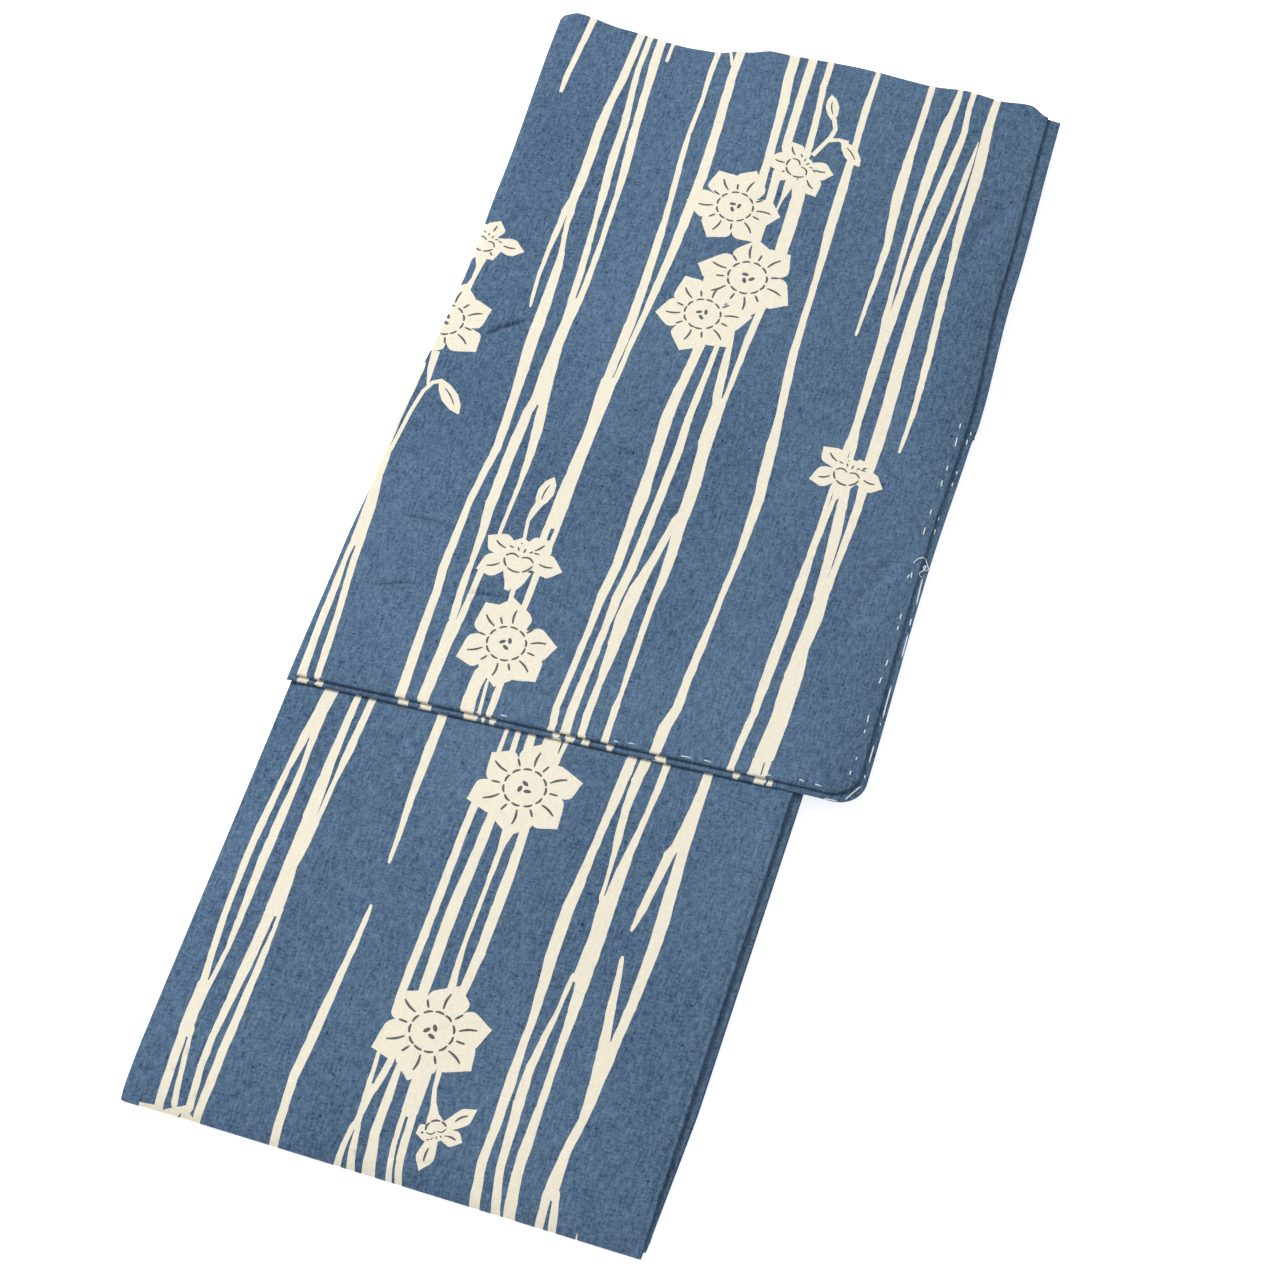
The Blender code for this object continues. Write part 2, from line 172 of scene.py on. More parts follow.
# Stripes on the sleeves, in centimetres of the model: rows of place along Y, centre, width
SLEEVE_STRIPES = (
    ((41, -14.45, .5), (37, -14.65, .4), (34, -14.8, .36), (32.8, -14.77, .28)),
    ((41, -11.25, .5), (35, -11.37, .54), (33, -11.53, .48), (31, -11.58, .62), (27, -11.42, .6),
     (25, -11.45, .54), (23.6, -11.5, .86)),
    ((24.2, -11.7, .4), (23, -11.66, .38), (21, -11.73, .3), (19, -11.72, .24), (17.5, -11.6, .24),
     (16.35, -11.5, .18)),
    ((24.2, -11.28, .4), (23, -11.25, .32), (22, -11.1, .3), (21, -10.94, .36), (20, -10.8, .48),
     (17, -10.66, .68), (14, -10.61, .76), (12, -10.47, .7), (10, -10.36, .56), (6, -10.2, .5),
     (4, -10.4, .42), (2, -10.54, .4), (-3, -10.58, .52), (-4.5, -10.42, .48), (-7, -10.38, .52),
     (-13, -10.15, .62)),
    ((41, -10.66, .4), (36, -10.66, .36), (34, -10.47, .4), (32, -10.24, .48), (28, -10.03, .54),
     (26, -9.82, .5), (24, -9.68, .32), (22, -9.52, .4), (20, -9.36, .44), (17.2, -9.22, .4)),
    ((41, -9.97, .5), (37, -9.84, .6), (35, -9.7, .52), (32, -9.51, .5), (30, -9.32, .56), (28, -9.1, .5),
     (26, -8.97, .36), (22, -8.8, .34), (19, -8.74, .38), (17.2, -8.8, .44)),
    ((17.8, -9.0, .86), (16, -9.01, .66), (14, -9.05, .7), (12, -8.97, .94), (10, -8.81, 1.1),
     (9.6, -8.81, 1.1)),
    ((10, -9.1, .52), (9, -9.23, .58), (7, -9.31, .66), (2, -9.31, .62), (0, -9.16, .48), (-2, -9.12, .32),
     (-4, -9.09, .42), (-6.4, -8.92, .44)),
    ((10, -8.55, .56), (8, -8.32, .64), (6, -8.16, .44), (4, -8.12, .28), (0, -8.18, .2), (-.6, -8.18, .2)),
    ((-2, -8.38, .36), (-4, -8.45, .38), (-6.4, -8.53, .4)),
    ((-6.1, -8.74, .84), (-8, -8.79, .7), (-10, -8.84, .68), (-13, -8.87, .66)),
    ((41, -9.13, .26), (37.1, -9.13, .22)),
    ((41, -6.18, .36), (37, -6.22, .36), (35, -6.1, .28), (32, -6.12, .26), (30, -5.98, .36),
     (28, -5.82, .36), (25.5, -5.6, .36), (24, -5.53, .48), (20, -5.36, .52), (17, -5.31, .6),
     (12.3, -5.42, .52)),
    ((41, -4.85, .5), (37, -4.83, .54), (33, -4.55, .58), (29, -4.37, .66), (24, -4.41, .6),
     (22, -4.48, .52), (20, -4.58, .48), (18, -4.66, .4), (16, -4.79, .34), (12.3, -4.93, .3)),
    ((41, -5.62, .2), (39.1, -5.5, .2), (37.9, -5.04, .2)),
    ((12.8, -5.27, .94), (11, -5.27, .92), (9, -5.23, .72), (7, -5.29, .74), (4, -5.35, .9),
     (1.5, -5.34, .92)),
    ((1.9, -5.6, .44), (.4, -5.62, .42)),
    ((1.9, -5.03, .3), (-1, -5.1, .28)),
    ((-1.4, -5.22, .4), (-4.4, -5.22, .38)),
    ((41, -1.52, .64), (38, -1.37, .66), (36, -1.12, .64), (34, -.97, .54), (31, -.78, .52),
     (28.6, -.68, .6)),
    ((41, -.35, .55), (36, -.16, .56), (32.4, -.02, .54)),
    ((30.9, .02, .56), (28, .2, .5), (24, .3, .5)),
    ((41, .84, .4), (38, .91, .4), (36, 1.14, .4), (32.8, 1.38, .44), (32.15, 1.44, .42)),
    ((30.4, 1.55, 1.0), (29, 1.78, .8), (27, 1.88, .84), (24.6, 1.92, .78), (24.1, 1.96, .78)),
    ((17.4, -.8, .66), (15, -.91, .58), (14, -.98, .56), (13, -1.09, .66), (11, -1.17, .7), (7, -1.0, .64),
     (5, -.95, .78), (3, -.98, .6), (0, -.96, .56), (-2, -1.15, .54), (-4, -1.17, .38), (-10, -1.4, .4),
     (-11, -1.26, .44), (-13, -1.12, .4)),
    ((17.8, .22, .28), (15, .16, .36), (11, .07, .46), (9, .16, .5), (2, 0, .5), (0, -.08, .56),
     (-2, -.28, .56), (-4, -.32, .44), (-8, -.44, .48), (-10, -.49, .54), (-13, -.35, .6)),
    ((19.4, .7, .24), (18, .82, .28), (15, 1.09, .54), (12.8, 1.3, .5)),
    ((22, 2.0, .44), (20, 1.95, .46), (18, 1.84, .44), (16, 1.82, .36), (12.8, 1.74, .28)),
    ((13.3, 1.52, .76), (10, 1.53, .86), (9, 1.61, .74), (7, 1.76, .76), (4.4, 1.78, .72)),
    ((4.9, 1.62, .36), (4.2, 1.4, .42), (2, 1.1, .48), (0, .77, .58), (-1, .6, .78), (-3, .48, .88),
     (-5, .49, .7), (-8, .48, .4), (-10, .43, .46), (-13, .62, .4)),
    ((4.9, 1.88, .46), (3, 1.81, .66), (2, 1.88, .64), (0, 1.87, .5), (-2, 1.79, .38), (-6, 1.82, .36),
     (-8, 1.87, .26), (-9, 1.84, .4), (-13, 1.94, .4)),
    ((41, 3.92, .26), (37, 3.93, .46), (35, 4.04, .4), (32.4, 4.15, .5), (30, 4.24, .6), (27, 4.33, .62),
     (25, 4.47, .46), (23, 4.55, .38), (20, 4.65, .42), (18, 4.72, .48), (16, 4.91, .54), (13, 5.22, .48),
     (11, 5.37, .66), (9, 5.5, .68), (7, 5.68, .64), (3, 5.67, .42), (0, 5.5, .36), (-2, 5.44, .38),
     (-4, 5.33, .5), (-6, 5.22, .48), (-8, 5.21, .58), (-9.5, 4.9, .68), (-13, 4.82, .6)),
    ((41, 7.44, .4), (36, 7.54, .4), (34, 7.56, .56), (31, 7.65, .7), (29, 7.83, .54), (27, 8.02, .44),
     (22, 7.99, .26), (20.15, 7.96, .18)),
    ((41, 9.2, .3), (39, 9.23, .46), (37, 9.1, .68), (32, 9.04, .6), (30, 9.04, .44), (27, 9.09, .34),
     (24, 9.22, .34), (21.4, 9.38, .42)),
    ((41, 10.06, .4), (39, 10.09, .34), (37, 10.3, .4), (35, 10.21, .5), (31, 9.92, .56), (28, 9.79, .54),
     (24, 9.76, .46), (21.4, 9.76, .52)),
    ((21.9, 9.58, .84), (20, 9.65, .62), (18, 9.68, .6), (14, 9.78, .48), (12.4, 9.86, .64)),
    ((12.8, 9.7, .42), (11, 9.66, .42)),
    ((12.8, 10.02, .34), (11, 10.12, .3)),
    ((36.6, 11.34, .08), (35, 11.3, .28), (33, 11.25, .38), (31, 11.17, .34), (28, 11, .4),
     (26, 10.88, .56), (22, 10.97, .74), (18, 11.11, .78), (16, 11.22, .74), (13, 11.29, .8),
     (10.4, 11.3, .66)),
    ((41, 11.62, .4), (38, 11.62, .56), (36, 11.77, .66), (34, 11.9, .7), (30, 11.95, .58),
     (28, 12.07, .46), (26, 12.2, .4), (24, 12.3, .44), (20, 12.58, .44), (18, 12.68, .4), (16, 12.77, .34),
     (12.65, 12.72, .2)),
    ((9.4, 9.58, .24), (7.3, 9.6, .3)),
    ((9.4, 9.94, .24), (7.3, 9.86, .3)),
    ((7.6, 9.74, .52), (6, 9.72, .44), (4, 9.68, .44), (2, 9.66, .6), (0, 9.64, .62), (-5, 9.52, .56),
     (-7, 9.5, .44), (-9, 9.33, .42), (-13, 9.16, .34)),
    ((10, 10.3, .5), (8, 10.5, .6), (6, 10.67, .66), (4, 10.77, .54), (1.3, 10.86, .5)),
    ((10.2, 11.34, .6), (8, 11.43, .5), (6, 11.37, .46), (4, 11.3, .4), (1.3, 11.24, .4)),
    ((2, 11.05, .8), (0, 11.09, .86), (-2, 10.95, .78), (-4, 10.98, 1.04), (-7, 11.01, 1.04),
     (-10, 10.85, 1.12)),
    ((-9.7, 10.63, .68), (-13, 10.54, .64)),
    ((-9.7, 11.2, .34), (-13, 11.22, .22)),
    ((10.6, -16.3, .3), (6, -16.45, .26), (3.8, -16.42, .26)),
    ((4.3, -16.32, .44), (2, -16.3, .52), (0, -16.08, .7), (-3, -15.98, .78)),
    ((-2.5, -16.22, .32), (-4, -16.25, .3), (-6, -16.19, .42), (-9, -16.2, .48), (-13, -16.06, .6)),
    ((-2.5, -15.78, .38), (-4, -15.74, .4), (-6, -15.56, .4), (-8, -15.38, .36), (-10, -15.27, .42),
     (-13, -15.06, .4)),
    ((-8.8, -6.2, .84), (-10, -6.3, .72), (-11, -6.3, .8), (-13, -6.15, .9)),
    ((-9.4, -5.7, .16), (-13, -5.4, .24)),
    ((-8.6, -4.95, .4), (-13, -4.92, .4)),
)
BODY_STRIPES = (
    ((-11, -14.1, .8), (-12.3, -14.14, .8), (-14, -14.32, .76), (-15.8, -14.42, .96)),
    ((-15.1, -14.62, .44), (-16, -14.65, .54), (-18, -14.85, .34), (-22, -15.06, .44), (-24, -15.14, .4),
     (-28, -15.07, .34), (-30, -14.93, .38), (-32.6, -14.72, .4)),
    ((-15.1, -14.16, .4), (-18, -14.07, .34), (-22, -14.17, .54), (-24, -14.21, .54), (-28, -14.18, .38),
     (-30, -14.19, .26), (-32.6, -14.4, .3)),
    ((-32, -14.64, .78), (-34, -14.7, .72), (-35.6, -14.66, .78)),
    ((-34.9, -14.76, .5), (-38, -14.66, .52), (-41.5, -14.6, .5)),
    ((-34.9, -14.34, .22), (-36, -14.24, .24), (-38, -14.0, .32), (-39.6, -13.8, .34)),
    ((-11, -12.56, .36), (-12.3, -12.58, .36), (-14, -12.64, .44), (-16, -12.67, .5), (-18, -12.66, .62),
     (-21, -12.62, .78)),
    ((-11, -11.72, .4), (-12.3, -11.72, .4), (-14, -11.81, .42), (-16, -11.9, .48), (-18, -12.02, .28),
     (-21, -12.13, .3)),
    ((-20.5, -12.46, .98), (-22, -12.5, .98), (-24, -12.61, .82), (-25, -12.55, .9), (-27.2, -12.55, .94)),
    ((-26.6, -12.68, .62), (-29, -12.75, .58), (-31, -12.86, .6), (-33, -12.97, .46), (-35, -13.11, .38),
     (-37, -13.11, .38), (-39.6, -12.95, .46)),
    ((-26.6, -12.14, .22), (-28, -12.12, .24), (-30, -12.15, .38), (-32, -12.19, .42), (-36, -12.29, .5),
     (-38, -12.31, .5), (-41.5, -12.5, .4)),
    ((-11, -7.55, .54), (-15, -7.56, .58), (-18, -7.53, .42), (-20, -7.43, .34), (-22.2, -7.37, .18)),
    ((-24.95, -7.46, .2), (-26, -7.45, .3), (-28, -7.56, .36), (-30, -7.68, .44), (-32, -7.81, .54),
     (-34, -7.9, .56), (-36, -8.06, .52), (-38, -7.98, .48), (-41.5, -7.9, .5)),
    ((-11, -3.74, .22), (-13.6, -3.74, .26)),
    ((-16.6, -3.96, .44), (-19, -4.01, .46), (-22, -4.02, .48), (-26, -4.04, .5), (-30.4, -4.1, .46)),
    ((-33, -4.12, .2), (-35.8, -4.0, .28)),
    ((-33, -3.3, .36), (-34, -3.36, .4), (-35.8, -3.66, .38)),
    ((-35.3, -3.86, .6), (-36, -3.84, .56), (-37.2, -3.88, .34), (-38.1, -3.92, .5)),
    ((-37.7, -4.05, .26), (-39, -4.2, .32), (-41.5, -4.3, .5)),
    ((-37.7, -3.78, .26), (-39, -3.68, .4), (-41.5, -3.3, .56)),
    ((-11, -3.1, .28), (-13.6, -3.0, .34)),
    ((-17.2, -2.81, .54), (-20, -2.85, .6), (-23, -2.99, .66), (-25, -3.02, .68), (-29.8, -2.94, .6)),
    ((-33.1, -2.74, .34), (-34, -2.78, .36), (-36, -2.77, .5), (-38, -2.77, .54), (-41.5, -2.3, .86)),
    ((-11, -2.3, .4), (-13.2, -2.2, .5)),
    ((-18, -1.62, .8), (-18.8, -1.66, .5), (-19.6, -1.68, .32), (-23, -1.7, .26), (-26, -1.72, .28),
     (-27.4, -1.64, .36), (-29, -1.5, .5)),
    ((-17.4, -.82, .5), (-19, -.72, .52), (-21, -.69, .62), (-23, -.71, .62), (-26, -.72, .56),
     (-29.4, -.93, .5)),
    ((-33.6, -1.42, .96), (-36.6, -1.36, .92)),
    ((-36.2, -1.64, .32), (-38, -1.6, .28), (-39, -1.51, .3), (-41.5, -1.1, .34)),
    ((-36.2, -1.14, .42), (-39, -1.02, .44), (-41.5, -.5, .4)),
    ((-11, -1.0, 1.0), (-12.8, -1.05, 1.05), (-13.8, -1.08, .85)),
    ((-11, -.2, .22), (-13.2, -.36, .24)),
    ((-11, 3.66, .54), (-12, 3.63, .58), (-14, 3.54, .6), (-16, 3.43, .5), (-18, 3.31, .46),
     (-20, 3.22, .6), (-22, 3.09, .7), (-25, 3.1, .7), (-27, 3.21, .58), (-29, 3.3, .44), (-31, 3.27, .46),
     (-33, 3.32, .6), (-36, 3.34, .52), (-38, 3.3, .52), (-41.5, 3.72, .6)),
    ((-11, 4.5, .62), (-13, 4.33, .58), (-15, 4.27, .46), (-17, 4.44, .44), (-18, 4.52, .3),
     (-19, 4.57, .22), (-21, 4.66, .24)),
    ((-11, 5.67, .46), (-13, 5.64, .4), (-15, 5.52, .32), (-17, 5.36, .44), (-19, 5.23, .66),
     (-21, 5.2, .8)),
    ((-20.6, 5.09, 1.02), (-22, 5.12, .98), (-23, 5.18, .92), (-26.2, 5.1, 1.02)),
    ((-25.7, 4.6, .28), (-28, 4.48, .24), (-30, 4.26, .4), (-32, 4.07, .5), (-34, 4.12, .6),
     (-36, 4.24, .52), (-38, 4.34, .44), (-41.5, 5.0, .58)),
    ((-25.7, 5.2, .8), (-28, 5.29, .58), (-30, 5.27, .42), (-34, 5.3, .44), (-36, 5.29, .58),
     (-38, 5.3, .6), (-41.5, 5.66, .74)),
    ((-11, 8.1, .5), (-13, 8.08, .6), (-15, 8.01, .82), (-16.8, 7.9, 1.1)),
    ((-16.1, 7.78, .5), (-17, 7.47, .58), (-19, 7.25, .5), (-21, 7.03, .46), (-22.3, 6.86, .18)),
    ((-16.1, 8.14, .54), (-19, 8.25, .7), (-21, 8.34, .76), (-23, 8.38, .68), (-25, 8.32, .6),
     (-27, 8.22, .56), (-29.8, 8.04, .5)),
    ((-23.9, 6.86, .2), (-25, 7.01, .34), (-27, 7.2, .48), (-29.8, 7.54, .6)),
    ((-29.1, 7.76, 1.1), (-30, 7.78, 1.08), (-32, 7.8, .72), (-34, 7.76, .52), (-36, 7.44, .52),
     (-38.9, 7.35, .84)),
    ((-38.3, 7.2, .5), (-41.5, 7.28, .42)),
    ((-38.3, 7.66, .32), (-40, 7.94, .44), (-41.5, 8.1, .44)),
    ((-40.2, 9.36, .06), (-41.5, 9.42, .3)),
)
# Front-view flowers: X, Y, radius, turn of the first petal in degrees
SLEEVE_FLOWERS = (
    (-1.75, 27.3, 2.95, 9), (.5, 22.35, 3.15, 44), (-1.34, 18.93, 2.9, 16), (-5.45, -6.8, 3.0, 19),
    (-16.1, 14.0, 2.95, 24),
)
BODY_FLOWERS = ((-1.6, -15.32, 3.2, 33), (-1.75, -31.4, 3.25, 22), (-13.75, -42.0, 2.85, 22))
# Flowers from the side: X, Y, size, angle of the mouth, and each petal's angle and length
SLEEVE_SIDE_FLOWERS = (
    (1.2, 31.4, 1.75, 48, ((118, 2.15), (172, 2.1), (4, 2.2), (-45, 2.5), (215, 1.5))),
    (10.2, 10.3, 1.75, 82, ((137, 2.4), (200, 2.3), (-5, 2.3), (40, 1.6), (100, 1.2))),
    (-6.5, -1.1, 1.95, 88, ((150, 2.5), (206, 2.6), (3, 2.65), (52, 2.3), (100, 1.5))),
    (-15.6, 20.3, 1.6, 65, ((3, 2.5), (76, 1.8), (130, 1.8), (-50, 1.5))),
)
BODY_SIDE_FLOWERS = ((.35, -36.9, 1.25, -62, ((40, 2.5), (-14, 1.6), (-92, 2.4), (-150, 1.1))),)
# Buds: base X, Y and tip X, Y, width
SLEEVE_BUDS = ((2.2, 35.6, 1.6, 37.5, .85), (3.3, 34.05, 4.75, 32.5, .95), (-14.9, 9.6, -13.15, 7.6, 1.05),
               (-6.6, 2.75, -6.3, 4.95, 1.0))
# Stems: points X, Y, width
SLEEVE_STEMS = (
    ((1.75, 32.5, .3), (2.15, 33.5, .28), (2.45, 34.2, .32), (2.55, 34.9, .28), (2.25, 35.7, .3)),
    ((2.3, 33.9, .3), (3.0, 34.15, .26), (3.6, 34.05, .4)),
    ((-14.8, 9.65, .3), (-15.35, 9.35, .26), (-15.7, 8.6, .24), (-15.95, 7, .24), (-16.2, 4, .24)),
    ((-15.9, 11.6, .5), (-15.8, 10.3, .4), (-15.6, 9.1, .14)),
    ((-15.5, 19.2, .8), (-15.4, 18.3, .34), (-15.45, 17.4, .26), (-15.6, 16.4, .5)),
    ((-6.55, 3.0, .5), (-6.75, 2.3, .4), (-6.85, 1.6, .22), (-6.65, .2, .2)),
    ((-6.1, -1.8, 1.1), (-6.15, -2.6, .8), (-6.2, -3.2, .3), (-6.1, -4.8, .2)),
    ((1.0, 30.8, .7), (.95, 29.6, .5), (.85, 28.6, .16), (.75, 27.4, .12)),
)
BODY_STEMS = (((-.62, -33.2, .32), (-.5, -34.6, .24), (-.3, -35.4, .3), (.05, -36.2, .5)),)

# Where the charted body print ends (cm), and where it turns back on itself below (m)
SHOWN_END = -41.5
PRINT_TURN = -0.435
PRINT_REACH = 0.325
# How the lower sleeve's print lies to the upper one's: stretched and moved along X (m)
BAND_PRINT_STRETCH = 1.009
BAND_PRINT_SHIFT = .0033
# Stripes, in centimetres: point spacing, unevenness, length of the taper, width left at the ends
STRIPE_STEP = .55
STRIPE_UNEVEN = .012
STRIPE_TAPER = .28
STRIPE_END = .68
# Half a petal's outline: share of its length, half width
PETAL = ((0.0, .18), (.3, .27), (.5, .34), (.62, .37), (.72, .325), (.82, .215), (.91, .10), (1.0, .004))

# How far a crease bows, as a share of its length, and the half width up to which it is sharp
CREASE_BOW = 0.06
SHARP_CREASE = 0.005
CREASE_STEP = 0.0014
CREASE_FADE = 0.03
# Creases: start X, Y, end X, Y, half width, height, in metres
SLEEVE_CREASES = (
    (-.1375, .1325, -.1075, .1565, .0013, -.0027), (-.1455, -.0026, -.1035, -.0029, .0010, -.0018),
    (-.1425, -.0545, -.1105, -.0436, .0010, -.0017), (-.0890, -.0427, -.0605, -.0393, .0010, -.0018),
    (.1280, -.0175, .1550, .0735, .0040, -.0014), (.1265, .2640, .1485, .3320, .0050, -.0018),
    (-.160, .255, -.100, .236, .010, .0006),
    (-.120, .318, -.060, .296, .012, -.0006), (-.155, .020, -.070, .008, .012, .0005),
    (-.060, .245, .020, .262, .012, .0005), (.040, .190, .150, .205, .014, -.0006),
    (-.130, .068, -.040, .078, .013, -.0004), (.020, .040, .130, .028, .012, .0005),
    (.060, .352, .128, .330, .012, .0007), (-.020, -.060, .080, -.072, .014, -.0004),
    (-.150, -.070, -.090, -.058, .012, .0004), (.108, .235, .146, .165, .012, .0005),
)
BODY_CREASES = (
    (-.1245, -.3853, -.0890, -.3830, .0011, -.0023), (-.0065, -.3906, .0300, -.3878, .0011, -.0025),
    (-.1690, -.3826, -.1480, -.3796, .0011, -.0018), (-.0960, -.1670, -.0850, -.1255, .0035, -.0006),
    (.0540, -.3445, .0760, -.3665, .0035, -.0006), (.0900, -.1560, .1250, -.1480, .0040, -.0005),
    (-.150, -.205, -.020, -.198, .014, .0004), (.000, -.262, .118, -.275, .013, -.0004),
    (-.140, -.322, -.030, -.330, .012, .0004), (.020, -.345, .120, -.350, .010, .0003),
)


def placed(name, data):
    """A new object in the scene."""
    made = bpy.data.objects.new(name, data)
    bpy.context.scene.collection.objects.link(made)
    return made


def along(rows, t):
    """Smooth values at t from rows of (t, value)."""
    keys = np.array([row[0] for row in rows])
    values = np.array([row[1] for row in rows])
    t = np.asarray(t, float)
    n = np.clip(np.searchsorted(keys, t, side="right") - 1, 0, len(keys) - 2)
    k = np.clip((t - keys[n]) / (keys[n + 1] - keys[n]), 0, 1)
    return values[n] + (values[n + 1] - values[n]) * k * k * (3 - 2 * k)


def aim(angle):
    """The unit vector at an angle in degrees."""
    return math.cos(math.radians(angle)), math.sin(math.radians(angle))


def unit(k):
    """k kept between 0 and 1."""
    return np.clip(k, 0.0, 1.0)


def mix(a, b, k):
    """From a at 0 to b at 1."""
    return a + (b - a) * k


def fold_y(x):
    """Y of the cross fold's outer face."""
    return SHIFT_Y + mix(FOLD_LEFT_Y, FOLD_RIGHT_Y, unit((x - SHIFT_X + BODY_UNDER_X) / (2 * BODY_UNDER_X)))


def body_left(y):
    """X of the body's left edge."""
    return SHIFT_X + along(BODY_LEFT_EDGE, y - SHIFT_Y)


def stack_top(x, y):
    """Height of the body's upper face."""
    full = 4 * STEP + FULL_STACK
    for cx, cy, wide, long, height in SWELLS:
        full = full + height * np.exp(-((x - SHIFT_X - cx) / wide) ** 2 - ((y - SHIFT_Y - cy) / long) ** 2)
    k = 1 - unit((y - fold_y(x)) / FOLD_LENGTH)
    return FOLD_CENTRE_Z + (full - FOLD_CENTRE_Z) * np.sqrt(1 - k * k)


def side_drop(x, y):
    """How far the stack's upper face sinks towards its sides."""
    near = np.minimum(x - body_left(SHIFT_Y), SHIFT_X + BODY_UNDER_X - x)
    k = 1 - unit(near / SIDE_TAPER)
    return SIDE_DROP * k * k * unit((y - fold_y(x)) / FOLD_LENGTH)


def sleeve_base(x, y):
    """Height of what the sleeves lie on, sinking to the floor past the body's right side."""
    reach = UNDER_RIGHT_EDGE[0][1] - OVERHANG_X
    past = unit((x - SHIFT_X - OVERHANG_X) / reach)
    return stack_top(x, y) - OVERHANG_DROP * past * past


def direction(ax, ay, bx, by):
    """Length of a line, and the unit vector along it."""
    size = math.hypot(bx - ax, by - ay)
    return size, (bx - ax) / size, (by - ay) / size


def creased(rows, x, y):
    """Height of soft creases: each a ridge or trough that fades at both ends."""
    total = np.zeros_like(x)
    for ax, ay, bx, by, wide, height in rows:
        size, ux, uy = direction(ax, ay, bx, by)
        run = ((x - ax) * ux + (y - ay) * uy) / size
        bow = CREASE_BOW * size * np.sin(math.pi * unit(run))
        off = -(x - ax) * uy + (y - ay) * ux - bow
        fade = unit(run * 3) * unit((1 - run) * 3)
        total += height * np.exp(-(off / wide) ** 2) * fade * fade * (3 - 2 * fade)
    return total


def crease_points(rows):
    """Rows of points along the sharp creases, where the cloth needs smaller triangles."""
    found = []
    for ax, ay, bx, by, wide, _ in rows:
        if wide > SHARP_CREASE:
            continue
        size, ux, uy = direction(ax, ay, bx, by)
        run = spaced(0, size, CREASE_STEP)
        for step in (-1.5, -.75, 0, .75, 1.5):
            off = CREASE_BOW * size * np.sin(math.pi * run / size) + step * wide
            found.append(np.column_stack([ax + ux * run - uy * off, ay + uy * run + ux * off]))
    return found


def inside(outline, points):
    """Which points lie inside a closed outline."""
    found = np.zeros(len(points), bool)
    low, high = outline.min(0), outline.max(0)
    near = np.where(((points >= low) & (points <= high)).all(1))[0]
    x, y = points[near, 0], points[near, 1]
    hit = np.zeros(len(near), bool)
    for (ax, ay), (bx, by) in zip(outline, np.roll(outline, -1, 0)):
        if ay != by:
            hit ^= ((ay > y) != (by > y)) & (x < (bx - ax) * (y - ay) / (by - ay) + ax)
    found[near] = hit
    return found


